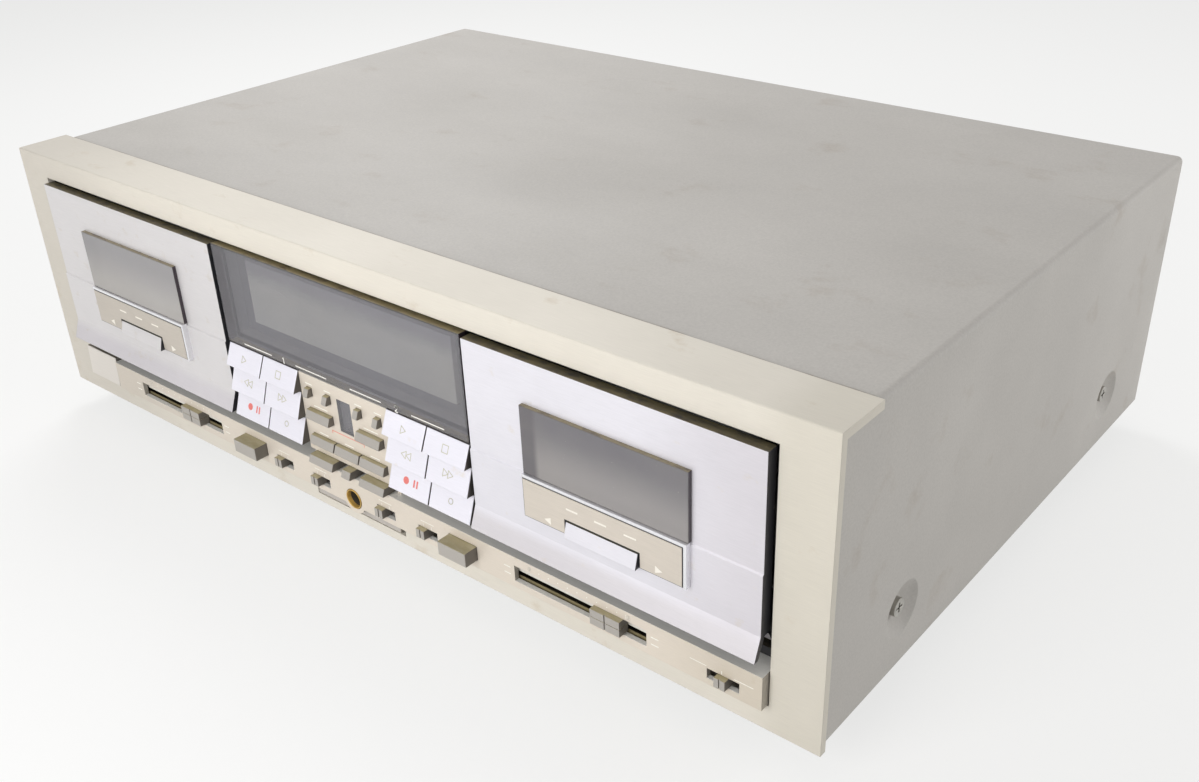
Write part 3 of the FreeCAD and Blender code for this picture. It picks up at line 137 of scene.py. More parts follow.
def finish(name, colour, roughness, metallic=0.0, grain=(0.35, 0.04), brushed=1, mottle=(60, 0.05),
           fade=(), sides=None, ledge=None, stain=None, dust=None, grime=None, bump=0.01, rim=0.25,
           specular=0.5):
    """A made surface: its grain, broad unevenness, and what has settled or worn on it.

    grain is its size in millimetres and its depth of shade, mottle the same for broad patches.
    brushed is how many times longer than wide the grain is, along x. fade is rows of a colour, an axis,
    and where along it that colour starts and is full. sides and ledge are the colours of faces that look
    aside and up. stain is a colour, a size and a share of the surface. dust is a colour and how much of
    it lies on faces that look up. grime is a colour and the y where a line of it lies. bump is the
    grain's height and rim the radius of worn edges, in millimetres.
    """
    material, tree = blank(name)
    base = linear(colour)
    for tint, axis, start, end in fade:
        base = coat(tree, base, tint, along(tree, axis, start, end))
    if sides:
        base = coat(tree, base, sides, looking(tree, "Y", FACING_ASIDE))
    if ledge:
        base = coat(tree, base, ledge, looking(tree, "Z", FACING_UP))
    if stain:
        tint, size, spread = stain
        base = coat(tree, base, tint, patches(tree, size, (1.4, 1, 1), seed=11.3, detail=6.0,
                                              between=(0.7 - spread, 0.85 - spread / 2), share=(0.0, 0.6)))
    if dust:
        tint, amount = dust
        clumps = patches(tree, DUST_CLUMP, (2.5, 1, 1), seed=7.7, detail=5.0, between=(0.25, 0.6))
        base = coat(tree, base, tint, clumps, looking(tree, "Z", FACING_UP), amount)
    if grime:
        tint, line = grime
        ahead, full, behind = 1.2, 0.4, 1.6
        runs = patches(tree, GRIME_RUN, (3, 1, 1), seed=2.9, detail=5.0, between=(0.3, 0.6))
        base = coat(tree, base, tint, along(tree, "Y", line - ahead, line),
                    along(tree, "Y", line + behind, line + full), looking(tree, "Z", FACING_UP), runs)
    grain_size, grain_depth = grain
    patch_size, patch_depth = mottle
    hairs, clouds, wander = (brushed, 1, 1), (1.6, 1, 1), 0.05
    fine = patches(tree, grain_size, hairs, share=(1 - grain_depth, 1 + grain_depth))
    broad = patches(tree, patch_size, clouds, seed=3.1, detail=4.0, share=(1 - patch_depth, 1 + patch_depth))
    shade = add(tree, "ShaderNodeMath", {0: fine, 1: broad}, operation="MULTIPLY")
    worn_edge = add(tree, "ShaderNodeBevel", {"Radius": rim * MM}, samples=6)
    relief = add(tree, "ShaderNodeBump", {"Height": patches(tree, grain_size, hairs), "Strength": 1.0,
                                          "Distance": bump * MM, "Normal": worn_edge})
    shader = add(tree, "ShaderNodeBsdfPrincipled",
                 {"Base Color": add(tree, "ShaderNodeHueSaturation", {"Color": base, "Value": shade}),
                  "Roughness": patches(tree, patch_size, clouds, seed=8.4, detail=4.0,
                                       share=(roughness - wander, roughness + wander)),
                  "Metallic": metallic, "Specular IOR Level": specular, "Normal": relief})
    add(tree, "ShaderNodeOutputMaterial", {"Surface": shader})
    return material


# Anodised aluminium, satin: warm champagne, with handling stains 14 mm across, and painted shade that
# darkens both ends, where less light falls.
# Its hairlines are finer than 0.1 mm and are drawn 0.3 mm wide so that they show.
ANODISED = finish("champagne_anodised_aluminium", "#DBD5C9", 0.54, 0.08, grain=(0.3, 0.03), brushed=30,
                  mottle=(60, 0.03), fade=(("#CCC6BB", "X", -110, -217), ("#D2CCBF", "X", 185, 205)),
                  stain=("#B9A78C", 14, 0.08), bump=0.006, rim=0.35, specular=0.3)
# Steel sheet under satin grey paint: a gritty 0.9 mm orange peel, smudges 22 mm across, and a brown line
# of dust where the sheet comes out from under the front panel's lip
PAINTED = finish("satin_painted_steel", "#B9B5AF", 0.58, grain=(0.9, 0.05), mottle=(70, 0.05),
                 stain=("#A2978A", 22, 0.1), grime=("#6E5E48", 24.4), bump=0.02, rim=0.8)
# Zinc plated steel: cool grey, with a 0.8 mm grain and a faint spangle 9 mm across
ZINC = finish("zinc_plated_steel", "#B4B6B4", 0.38, 0.9, grain=(0.8, 0.05), mottle=(9, 0.08), bump=0.006)
# ABS moulding under champagne metallic lacquer: worn spots 9 mm across and grey in its cuts. It is painted
# darker towards both ends as shade, and pale on its ledge as painted light where the door lips shade it. Its
# hairlines are drawn 0.35 mm wide so that they show.
CHAMPAGNE_ABS = finish("champagne_lacquered_abs", "#D9CFC1", 0.45, 0.2, grain=(0.35, 0.03), brushed=12,
                       fade=(("#CDC4B7", "X", -60, -150), ("#CEC4B4", "X", 150, 190)),
                       sides="#ABA59B", ledge="#F4F2EC", stain=("#B5A37F", 9, 0.06), bump=0.008)
# Left tape door: silver lacquer over black ABS, dusty on top, worn in spots 6 mm across, painted greyer than
# the right door as shade where less light reaches the left, and painted darker as shade where the lip bends
# away from the light. Its hairlines are drawn 0.3 mm wide so that they show.
DOOR_SILVER_1 = finish("silver_lacquered_abs_worn", "#D2CFCF", 0.4, 0.25, grain=(0.3, 0.025), brushed=20,
                       fade=(("#CAC6C9", "Z", 41, 36),), sides="#3A3A3E", stain=("#BFB3A0", 6, 0.1),
                       dust=("#7A7050", 0.8), bump=0.006, rim=0.3)
# Right tape door: the same lacquer and 0.3 mm hairlines, less handled, whiter as the left door is painted
# greyer as shade, greyer at its right end
# Its lip is painted darker as shade, where it bends away from the light.
DOOR_SILVER_2 = finish("silver_lacquered_abs", "#DDDBE1", 0.4, 0.25, grain=(0.3, 0.025), brushed=20,
                       fade=(("#D3CFD4", "X", 140, 197), ("#CFCBCE", "Z", 41, 36)), sides="#3A3A3E",
                       stain=("#CFC3AE", 6, 0.07), dust=("#7A7050", 0.8), bump=0.006, rim=0.3)
# Transport keys: pearl lacquer over dark grey ABS, yellowed in 7 mm spots, with a 0.35 mm brushing
KEY_SILVER = finish("pearl_lacquered_abs", "#E6E4EC", 0.42, 0.15, grain=(0.35, 0.02), brushed=14,
                    sides="#5A5652", stain=("#D8CBB4", 7, 0.05), bump=0.006, rim=0.3)
# Small buttons and knobs: moulded grey ABS with a 0.4 mm grain, tops under a settled olive-brown dust
BUTTON_GREY = finish("moulded_grey_abs", "#A6A19A", 0.5, grain=(0.4, 0.04), sides="#6E6860",
                     ledge="#B9B093", dust=("#A0946E", 0.7), rim=0.3)
# Power button: champagne aluminium cap, with 0.3 mm brushing along x and dust on top
POWER_CAP = finish("champagne_cap_aluminium", "#DAD4CC", 0.4, 0.3, grain=(0.3, 0.02), brushed=20,
                   sides="#8F8A82", dust=("#8A8064", 0.5), bump=0.006, rim=0.35)
# Black moulded ABS of the frame and the socket plate: a 0.4 mm grain, with brown dust where it looks up
BLACK_ABS = finish("black_moulded_abs", "#242427", 0.55, grain=(0.4, 0.12), dust=("#6B6350", 0.7),
                   bump=0.015)
# Rubber of the feet: matt, with a 0.5 mm grain, greyed in 6 mm patches
RUBBER = finish("black_rubber", "#2B2B2C", 0.75, grain=(0.5, 0.1), mottle=(6, 0.1), bump=0.02, rim=0.5)
# Bright rim of the plates on the doors: polished aluminium, with its hairlines drawn 0.2 mm wide
BRIGHT = finish("polished_aluminium", "#E9E9EC", 0.24, 0.7, grain=(0.2, 0.02), brushed=30, bump=0.002,
                rim=0.1)
# The plates themselves: beige aluminium brushed lengthwise in a 0.25 mm grain, painted darker towards the
# left as shade, where less light falls
PLATE_BEIGE = finish("brushed_beige_aluminium", "#CFC6BA", 0.42, 0.3, grain=(0.25, 0.04), brushed=40,
                     mottle=(25, 0.04), fade=(("#BFB7AC", "X", -60, -100),), bump=0.006, rim=0.1)
# Nickel plated screw heads, gone dull in 3 mm patches
NICKEL = finish("dull_nickel_plate", "#A9A69F", 0.35, 0.8, grain=(0.3, 0.06), mottle=(3, 0.12),
                bump=0.008, rim=0.35)
# Nickel plated sockets: bright, with 4 mm patches of tarnish
SOCKET = finish("nickel_plated_sockets", "#BDBDBB", 0.28, 0.8, grain=(0.3, 0.04), mottle=(4, 0.08),
                bump=0.004)
# Brass of the headphone socket: yellow, turned in a 0.25 mm grain, with 3 mm patches of tarnish
BRASS = finish("polished_brass", "#CDAA5E", 0.36, 0.55, grain=(0.25, 0.05), mottle=(3, 0.12), bump=0.004,
               rim=0.2)
# Dark lining of the headphone socket's bore: painted shade, dull and nearly black in 2 mm patches
DARK_BORE = finish("painted_bore_shade", "#4A443A", 0.6, 0.3, grain=(0.3, 0.1), mottle=(2, 0.2), rim=0.1)
# Phenolic boards: brown, cloudy in 12 mm patches
PHENOLIC = finish("phenolic_board", "#7A6132", 0.45, grain=(0.8, 0.08), mottle=(12, 0.15), bump=0.02)
# Black acetal of the reel spindles: dark and slightly waxy, with a 0.3 mm grain
ACETAL = finish("black_acetal", "#2A2A2D", 0.38, grain=(0.3, 0.06), bump=0.006, rim=0.3)
# Grey face of the socket's tongue: matt, with a 0.4 mm grain
TONGUE_GREY = finish("grey_tongue_face", "#B9B3AC", 0.5, 0.05, grain=(0.4, 0.03), mottle=(12, 0.05),
                     bump=0.008)
# Upper strips in the level slots: grey, painted as the reflection seen in the slot, matt, with a 0.5 mm
# grain and 8 mm patches
SLOT_GREY = finish("painted_slot_reflection_grey", "#B4B0A8", 0.6, grain=(0.5, 0.05), mottle=(8, 0.08), rim=0.1)
# Middle strips of the slots: pale, painted as the reflection seen in the slot, matt, with a 0.5 mm grain
SLOT_PALE = finish("painted_slot_reflection_pale", "#D8D4CB", 0.85, grain=(0.5, 0.06), mottle=(6, 0.08), bump=0.02,
                   rim=0.1)
# Lower strips of the slots: dark olive-brown in 8 mm patches
SLOT_OLIVE = finish("olive_brown_slot_strip", "#7E7352", 0.75, grain=(0.5, 0.1), mottle=(8, 0.15), bump=0.02,
                    rim=0.1)
# Pale strip along the edge of the ledge under the low buttons: a painted highlight where the ledge catches
# the light, mottled in 6 mm patches
LEDGE_HIGHLIGHT = finish("painted_ledge_highlight", "#E6E3DC", 0.5, 0.05, grain=(0.4, 0.03), mottle=(6, 0.05),
                     bump=0.006, rim=0.1)


def tube_glass():
    """Fluorescent tube: grey glass over a paler mesh, drawn 1.2 mm wide where the real one is finer."""
    material, tree = blank("display_tube_glass")
    wires = patches(tree, 1.2, (6, 1, 1), seed=2.0, share=(0.98, 1.02))
    clouds = patches(tree, 9, (2, 1, 1), seed=5.0, share=(0.92, 1.06))
    tone = add(tree, "ShaderNodeMath", {0: wires, 1: clouds}, operation="MULTIPLY")
    base = coat(tree, linear("#C0BFB6"), "#85848A", along(tree, "Z", 90, 101))
    shader = add(tree, "ShaderNodeBsdfPrincipled",
                 {"Base Color": add(tree, "ShaderNodeHueSaturation", {"Color": base, "Value": tone}),
                  "Roughness": 0.25})
    add(tree, "ShaderNodeOutputMaterial", {"Surface": shader})
    return material


def smoked_acrylic(name, colour, low_colour, heights, opacity, left=None):
    """Smoked acrylic: polished and part clear, hazy with fine dust; dusty on top and dark at its sides.

    heights are where low_colour is full at the foot of the pane and where it ends: a painted gradient, which
    on the door panes is painted shadow above and painted reflection below. left is a colour and the x up to
    which it lies, where the holder behind shows through.
    """
    edge_on, face_on, soft_edge = 0.15, 0.5, 3
    material, tree = blank(name)
    base = coat(tree, linear(colour), low_colour, along(tree, "Z", heights[1], heights[0]))
    if left:
        tint, end = left
        base = coat(tree, base, tint, along(tree, "X", end + soft_edge, end))
    base = coat(tree, base, "#A39E98", patches(tree, HAZE, (1.5, 1, 1), seed=1.3, detail=4.0,
                                               share=(0.0, 0.25)))
    base = coat(tree, base, "#D2CDC2", patches(tree, 0.7, seed=4.4, between=(0.72, 0.8),
                                               share=(0.0, 0.35)))
    aim = add(tree, "ShaderNodeSeparateXYZ", {0: add(tree, "ShaderNodeTexCoord", out="Normal")}, out="Y")
    flat = add(tree, "ShaderNodeMath", {0: aim}, operation="ABSOLUTE")
    rim = add(tree, "ShaderNodeMapRange", {"Value": flat, "From Min": face_on, "From Max": edge_on})
    base = coat(tree, base, "#3A3137", rim)
    clumps = patches(tree, DUST_CLUMP, (2.5, 1, 1), seed=7.7, detail=5.0, between=(0.2, 0.5))
    base = coat(tree, base, "#85795A", looking(tree, "Z", (0.6, 0.9)), clumps)
    shader = add(tree, "ShaderNodeBsdfPrincipled",
                 {"Base Color": base, "IOR": 1.49,
                  "Roughness": patches(tree, HAZE, (1.5, 1, 1), seed=1.3, detail=4.0, share=(0.1, 0.24)),
                  "Alpha": add(tree, "ShaderNodeMapRange", {"Value": flat, "From Min": edge_on,
                                                            "From Max": face_on, "To Min": 1.0,
                                                            "To Max": opacity}),
                  "Normal": add(tree, "ShaderNodeBevel", {"Radius": 0.3 * MM}, samples=4)})
    add(tree, "ShaderNodeOutputMaterial", {"Surface": shader})
    return material


# Display pane: smoked acrylic, the clearest of the three, with haze in 30 mm patches and dust specks drawn
# 0.7 mm wide so that they show
DISPLAY_ACRYLIC = smoked_acrylic("smoked_display_acrylic", "#97969C", "#A3A2A8", (66, 78), 0.36)
# The door panes are painted darker at the top, as the shadow of the door's top on the holder behind, and
# paler at the foot, as reflection.
# Left door's pane: the same acrylic with its haze and specks, milky with handling
DOOR_ACRYLIC_1 = smoked_acrylic("smoked_door_acrylic_left", "#A19FA1", "#BCB8B4", (68, 88), 0.76)
# Right door's pane: the same, cleaner and darker, darkest at its left where the holder shows through
DOOR_ACRYLIC_2 = smoked_acrylic("smoked_door_acrylic_right", "#7A787D", "#A6A2A1", (68, 88), 0.74,
                                ("#6A676D", 104))


def ink(name, colour, worn):
    """Screen-printed ink, worn thin in specks drawn 0.5 mm wide so that they show."""
    material, tree = blank(name)
    specks = patches(tree, 0.5, seed=6.0, detail=4.0, between=(0.35, 0.65), share=(0.0, 0.35))
    shader = add(tree, "ShaderNodeBsdfPrincipled", {"Base Color": coat(tree, linear(colour), worn, specks),
                                                    "Roughness": 0.6})
    add(tree, "ShaderNodeOutputMaterial", {"Surface": shader})
    return material


# White ink of the lines and scales: matt, with 0.5 mm specks of a warmer white
WHITE_INK = ink("white_screen_ink", "#F6F4EC", "#E4DED0")
# Pale ink on the door plates: matt cream, with 0.5 mm specks of the plate showing through
PALE_INK = ink("pale_screen_ink", "#EDE8DE", "#E0D8CB")
# Ink of the key symbols: once white, yellowed and nearly gone in 0.5 mm specks
FAINT_INK = ink("yellowed_screen_ink", "#BDB9A2", "#D2CFC4")
# Red ink of the recording symbols, faded to pink in 0.5 mm specks
RED_INK = ink("red_screen_ink", "#DE6E66", "#E9A8A2")
# Coral ink of the line under the indicator window, faded in 0.5 mm specks
CORAL_INK = ink("coral_screen_ink", "#E08F7A", "#E4B3A2")


# Shapes
INK_THICK = 0.05


def piece(name, body, material, build):
    """A new mesh piece that rides on a body; build fills its mesh, in metres."""
    mesh = bmesh.new()
    build(mesh)
    bmesh.ops.remove_doubles(mesh, verts=mesh.verts, dist=1e-7)
    bmesh.ops.recalc_face_normals(mesh, faces=mesh.faces)
    data = bpy.data.meshes.new(name)
    mesh.to_mesh(data)
    mesh.free()
    data.materials.append(material)
    item = bpy.data.objects.new(name, data)
    bpy.context.scene.collection.objects.link(item)
    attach(item, body)


def cuboid(mesh, low, high):
    """A block between two corners in front-panel millimetres."""
    corners = [mesh.verts.new(spot(x, y, z)) for x in (low[0], high[0]) for y in (low[1], high[1])
               for z in (low[2], high[2])]
    for face in ((0, 1, 3, 2), (4, 6, 7, 5), (0, 4, 5, 1), (2, 3, 7, 6), (0, 2, 6, 4), (1, 5, 7, 3)):
        mesh.faces.new([corners[i] for i in face])


def prism(mesh, points, origin, up=UP, thickness=INK_THICK):
    """A flat plate on an outline of millimetres, on a plane through origin that RIGHT and up span."""
    out = RIGHT.cross(up) * thickness * MM
    base = [origin + (RIGHT * x + up * z) * MM for x, z in points]
    back = [mesh.verts.new(point) for point in base]
    front = [mesh.verts.new(point + out) for point in base]
    mesh.faces.new(back)
    mesh.faces.new(front[::-1])
    for i in range(len(points)):
        j = (i + 1) % len(points)
        mesh.faces.new((back[i], front[i], front[j], back[j]))


def stroke(mesh, points, width, origin, up=UP, closed=False):
    """A printed line of one width through points, as a thin raised strip for each run."""
    ends = points[1:] + points[:1] if closed else points[1:]
    for (x, z), (far_x, far_z) in zip(points, ends):
        run = Vector((far_x - x, far_z - z)).normalized() * width / 2
        x, z, far_x, far_z = x - run.x / 2, z - run.y / 2, far_x + run.x / 2, far_z + run.y / 2
        prism(mesh, ((x - run.y, z + run.x), (far_x - run.y, far_z + run.x), (far_x + run.y, far_z - run.x),
                     (x + run.y, z - run.x)), origin, up)


def level_line(mesh, left, right, z, width, origin):
    """A printed line from left to right at one height."""
    stroke(mesh, [(left, z), (right, z)], width, origin)


def oval(centre, across, tall, steps=28):
    """Points round an oval from its centre and its two radii."""
    return [(centre[0] + across * math.cos(math.tau * i / steps),
             centre[1] + tall * math.sin(math.tau * i / steps)) for i in range(steps)]


def lathe(mesh, profile, origin, ring=False, steps=48):
    """A turned solid, or a ring whose profile closes on itself.

    The profile is radius and distance back from origin, in millimetres.
    """
    turn = BACK.to_track_quat("Z", "Y").to_matrix()
    circles = []
    for radius, back in profile:
        points = [origin + turn @ Vector((radius * math.cos(a), radius * math.sin(a), back)) * MM
                  for a in (math.tau * i / steps for i in range(steps))]
        circles.append([mesh.verts.new(point) for point in points])
    for one, other in zip(circles, circles[1:] + circles[:1] if ring else circles[1:]):
        for i in range(steps):
            j = (i + 1) % steps
            mesh.faces.new((one[i], one[j], other[j], other[i]))
    if not ring:
        mesh.faces.new(circles[0][::-1])
        mesh.faces.new(circles[-1])


# Digits for the marks, as strokes in a box one high, and whether the stroke closes
DIGITS = {
    "0": (oval((0.3, 0.5), 0.3, 0.5, 20), True),
    "1": ([(0.1, 0.76), (0.36, 1.0), (0.36, 0.0)], False),
    "2": ([(0.3 - 0.3 * math.cos(a), 0.7 + 0.3 * math.sin(a)) for a in (math.pi * i / 10 for i in range(13))]
          + [(0.0, 0.0), (0.62, 0.0)], False),
}


def write(mesh, text, x, z, height, origin):
    """Plain numerals set about x, standing on z."""
    advance, gap, weight = 0.85, 0.25, 0.16
    left = x - (len(text) * advance - gap) * height / 2
    for place, digit in enumerate(text):
        points, closed = DIGITS[digit]
        shifted = [(left + (place * advance + a) * height, z + b * height) for a, b in points]
        stroke(mesh, shifted, weight * height, origin, closed=closed)


# Finishes of the CAD parts
def dress(material, *nodes):
    """Gives CAD parts their finish."""
    for node in nodes:
        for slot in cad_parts[node].material_slots:
            slot.material = material


def dress_all(material, *starts):
    """Gives the CAD parts whose names start so their finish."""
    dress(material, *[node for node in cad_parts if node.startswith(starts)])


dress(ANODISED, "front_fascia")
dress(PAINTED, "top_cover", "rear_panel")
dress(ZINC, "bottom_chassis", "tape_mechanisms")
dress(CHAMPAGNE_ABS, "control_panel")
dress(BLACK_ABS, "front_frame", "rear_jacks")
dress(DISPLAY_ACRYLIC, "display_window")
dress(tube_glass(), "display_tube")
dress(PHENOLIC, "main_board")
dress(NICKEL, "cover_screws")
dress(RUBBER, "feet")
dress(BRASS, "headphone_jack")
dress(POWER_CAP, "power_button")
dress(BRIGHT, "deck_1_bezel", "deck_2_bezel")
dress(DOOR_SILVER_1, "deck_1_door")
dress(DOOR_SILVER_2, "deck_2_door")
dress(DOOR_ACRYLIC_1, "deck_1_window")
dress(DOOR_ACRYLIC_2, "deck_2_window")
dress_all(KEY_SILVER, "key_")
dress_all(ACETAL, "reel_")
dress_all(BUTTON_GREY, "button_", "eject_", "level_", "switch_")


# White lines with the deck's number along the foot of the display
def display_marks(mesh):
    face = spot(0, panel_box("display_window")[0].y, 0)
    line_z, line_width, numeral = 66.6, 0.45, 2.6
    for number, lines in (("1", ((-59.0, -41.5), (-26.0, -7.5))), ("2", ((6.6, 24.1), (41.0, 58.1)))):
        for left, right in lines:
            level_line(mesh, left, right, line_z, line_width, face)
        write(mesh, number, (lines[0][1] + lines[1][0]) / 2, line_z - numeral / 2, numeral, face)


piece("display_deck_marks", "case", WHITE_INK, display_marks)


# Beige plate set in the bright rim of each door, with a dark line round it and its direction marks
RIM, RECESS, BED_THICK, PLATE_THICK = 1.2, 0.7, 0.4, 0.22
PLATE_GAP, NARROW_SHARE = 0.6, 0.6
TAB_HALF, TAB_TOP = 15.65, 53.35


def plate_outline(low, high, inset):
    """The plate's outline, stepped round the finger tab; its gap is narrower at the foot and the left."""
    middle, half, roof = (low.x + high.x) / 2, TAB_HALF + inset, TAB_TOP + inset
    left, right = low.x + inset * NARROW_SHARE, high.x - RIM - inset
    bottom, top = low.z + inset * NARROW_SHARE, high.z - RIM - inset
    return [(left, bottom), (middle - half, bottom), (middle - half, roof), (middle + half, roof),
            (middle + half, bottom), (right, bottom), (right, top), (left, top)]


def plate_marks(mesh, middle, face):
    """An arrow head at each end of the plate and three dashes above the tab."""
    arrow_out, arrow_z, arrow_half, arrow_tip = 23.9, 50.3, 1.4, 1.6
    for way in (-1, 1):
        x = middle + way * arrow_out
        prism(mesh, [(x - way * arrow_half, arrow_z - arrow_half), (x + way * arrow_tip, arrow_z),
                     (x - way * arrow_half, arrow_z + arrow_half)], face)
    dash_half, dash_z, dash_width = 2.4, 58.5, 0.7
    for shift in (-12.6, -0.2, 12.3):
        x = middle + shift
        level_line(mesh, x - dash_half, x + dash_half, dash_z, dash_width, face)


def door_plate(deck):
    """The bed, the plate and its marks on one door."""
    low, high = panel_box(f"deck_{deck}_bezel")
    body = f"door_{deck}"
    floor_y = low.y + RECESS
    bed_y = floor_y - BED_THICK
    piece(f"deck_{deck}_plate_bed", body, BLACK_ABS,
          lambda mesh: prism(mesh, plate_outline(low, high, 0.0), spot(0, floor_y, 0), thickness=BED_THICK))
    piece(f"deck_{deck}_plate", body, PLATE_BEIGE,
          lambda mesh: prism(mesh, plate_outline(low, high, PLATE_GAP), spot(0, bed_y, 0),
                             thickness=PLATE_THICK))
    piece(f"deck_{deck}_plate_marks", body, PALE_INK,
          lambda mesh: plate_marks(mesh, (low.x + high.x) / 2, spot(0, bed_y - PLATE_THICK, 0)))


for deck in DECKS:
    door_plate(deck)


# Symbols printed on the sloping faces of the transport keys
def key_symbol(word):
    """Outlines of the usual tape symbols, in millimetres about the middle of the symbol."""
    size, pair, dot_x, bar, bar_left, bar_pitch, ring = 1.5, 1.3, -1.8, 0.8, 2.2, 1.6, 1.1
    right = [(-0.8 * size, -size), (0.9 * size, 0), (-0.8 * size, size)]
    left = [(-x, z) for x, z in right]
    if word == "play":
        return [right]
    if word == "stop":
        return [[(-size, -size), (size, -size), (size, size), (-size, size)]]
    if word == "rewind":
        return [[(x + shift, z) for x, z in left] for shift in (-pair, pair)]
    if word == "forward":
        return [[(x + shift, z) for x, z in right] for shift in (-pair, pair)]
    if word == "record":
        bars = [[(x, -size), (x + bar, -size), (x + bar, size), (x, size)]
                for x in (bar_left, bar_left + bar_pitch)]
        return [oval((dot_x, 0), size, size)] + bars
    return [oval((0, 0), ring, ring)]


def key_mark(node, word):
    """One key's symbol: filled and red for recording, an outline on the others."""
    low, high = panel_box(node)
    centre, slope = on_face(node, (low.x + high.x) / 2, (low.z + high.z) / 2)
    line_width = 0.3

    def build(mesh):
        for outline in key_symbol(word):
            if word == "record":
                prism(mesh, outline, centre, slope)
            else:
                stroke(mesh, outline, line_width, centre, slope, closed=True)

    piece(f"{node}_symbol", node, RED_INK if word == "record" else FAINT_INK, build)


for deck in DECKS:
    for word in ("play", "stop", "rewind", "forward", "record", "mute"):
        key_mark(f"key_{deck}_{word}", word)


# White marks on the control panel, at the level slots, the timer switch and the slide switches
SLOT_MIDDLES = (-118.05, 119.95)
TIMER_MIDDLE, SWITCH_MIDDLES = 181.6, (-43.6, -19.7, 19.7, 43.6)
FINE_LINE = 0.25


def level_scales(mesh, face):
    """Nought, nine dots and ten above each level slot."""
    dot, pitch, steps, numeral = 0.5, 4.5, 10, 1.4
    for first, scale_z in ((-140.4, 22.6), (97.3, 22.3)):
        for number in range(1, steps):
            prism(mesh, oval((first + number * pitch, scale_z), dot / 2, dot / 2, 10), face)
        write(mesh, "0", first, scale_z - numeral / 2, numeral, face)
        write(mesh, "10", first + steps * pitch, scale_z - numeral / 2, numeral, face)


def slot_lines(mesh, face):
    """Two short lines at each end of a level slot, one for each knob."""
    near, far, width = 32.6, 35.6, 0.4
    for middle in SLOT_MIDDLES:
        for z in (15.9, 18.9):
            level_line(mesh, middle + near, middle + far, z, width, face)
            level_line(mesh, middle - far, middle - near, z, width, face)


def timer_lines(mesh, face):
    """A line at each side of the timer switch and a tick over its middle place."""
    line_z, tick_low, tick_high, tick_width = 18.4, 18.0, 19.2, 0.3
    for left, right in ((168.8, 175.4), (186.6, 193.9)):
        level_line(mesh, left, right, line_z, FINE_LINE, face)
    stroke(mesh, [(TIMER_MIDDLE, tick_low), (TIMER_MIDDLE, tick_high)], tick_width, face)


def switch_lines(mesh, face):
    """A line over two ticks above each slide switch."""
    tick_out, tick_low, tick_high, line_half, line_z = 2.2, 18.1, 19.1, 3.6, 20.3
    for middle in SWITCH_MIDDLES:
        for x in (middle - tick_out, middle + tick_out):
            stroke(mesh, [(x, tick_low), (x, tick_high)], FINE_LINE, face)
        level_line(mesh, middle - line_half, middle + line_half, line_z, FINE_LINE, face)


def panel_marks(mesh):
    face = spot(0, panel_box("control_panel")[0].y, 0)
    for marks in (level_scales, slot_lines, timer_lines, switch_lines):
        marks(mesh, face)


piece("panel_marks", "case", WHITE_INK, panel_marks)


# White lines over the small buttons, and the coral line under the indicator window
BUTTON_PANEL_FACE = spot(0, -2.0, 0)


def button_marks(mesh):
    width = 0.45
    for places, z, half in (((-20.4, -9.1, 9.1, 20.4), 60.0, 1.9), ((-14.9, 14.9), 50.6, 4.0),
                            ((-15.3, 0, 15.3), 38.4, 2.6)):
        for x in places:
            level_line(mesh, x - half, x + half, z, width, BUTTON_PANEL_FACE)


def coral_marks(mesh):
    half, top, bottom, width = 9.5, 42.4, 41.2, 0.4
    level_line(mesh, -half, half, top, width, BUTTON_PANEL_FACE)
    for x in (-half, half):
        stroke(mesh, [(x, top), (x, bottom)], width, BUTTON_PANEL_FACE)


piece("button_panel_marks", "case", WHITE_INK, button_marks)
piece("button_panel_coral_line", "case", CORAL_INK, coral_marks)


# Small trim: a pale strip painted as a highlight on the edge of the ledge under the low buttons, and the
# grey face of the socket's tongue
def ledge_strip(mesh):
    half, front, back, bottom, top = 25.7, -3.6, 2.0, 24.49, 24.6
    cuboid(mesh, (-half, front, bottom), (half, back, top))


def tongue_face(mesh):
    left, right, front, back, bottom, top = -28.3, 21.9, 0.2, 0.31, 4.5, 10.4
    cuboid(mesh, (left, front, bottom), (right, back, top))


piece("low_button_ledge_strip", "case", LEDGE_HIGHLIGHT, ledge_strip)
piece("socket_tongue_face", "case", TONGUE_GREY, tongue_face)


# Three strips behind each level slot, which leave the knobs' stems free: the upper two painted as the
# reflection in the slot, the lowest dark olive-brown
def slot_strips(deck, middle):
    half, front, back = 32.5, -0.8, -0.5
    for name, material, low, high in (("upper", SLOT_GREY, 19.8, 21.6), ("middle", SLOT_PALE, 16.45, 17.85),
                                      ("lower", SLOT_OLIVE, 12.6, 14.5)):
        piece(f"level_{deck}_slot_strips_{name}", "case", material,
              lambda mesh: cuboid(mesh, (middle - half, front, low), (middle + half, back, high)))


for deck, middle in zip(DECKS, SLOT_MIDDLES):
    slot_strips(deck, middle)


# Thin lip of the headphone socket, and a dark sleeve and floor in the bore behind its bright flared mouth,
# painted as its shade
jack_low, jack_high = panel_box("headphone_jack")
JACK_MIDDLE = spot((jack_low.x + jack_high.x) / 2, 0, (jack_low.z + jack_high.z) / 2)


def jack_lip(mesh):
    lathe(mesh, [(4.35, -3.85), (4.35, -4.0), (4.15, -4.08), (3.95, -4.0), (3.9, -3.85)], JACK_MIDDLE,
          ring=True)


def jack_bore_shade(mesh):
    lathe(mesh, [(3.52, -2.3), (3.195, -0.9), (3.195, 21.9), (3.18, 21.9), (3.18, -0.88), (3.49, -2.3)],
          JACK_MIDDLE, ring=True)
    lathe(mesh, [(3.1, 21.8), (3.1, 21.95)], JACK_MIDDLE)


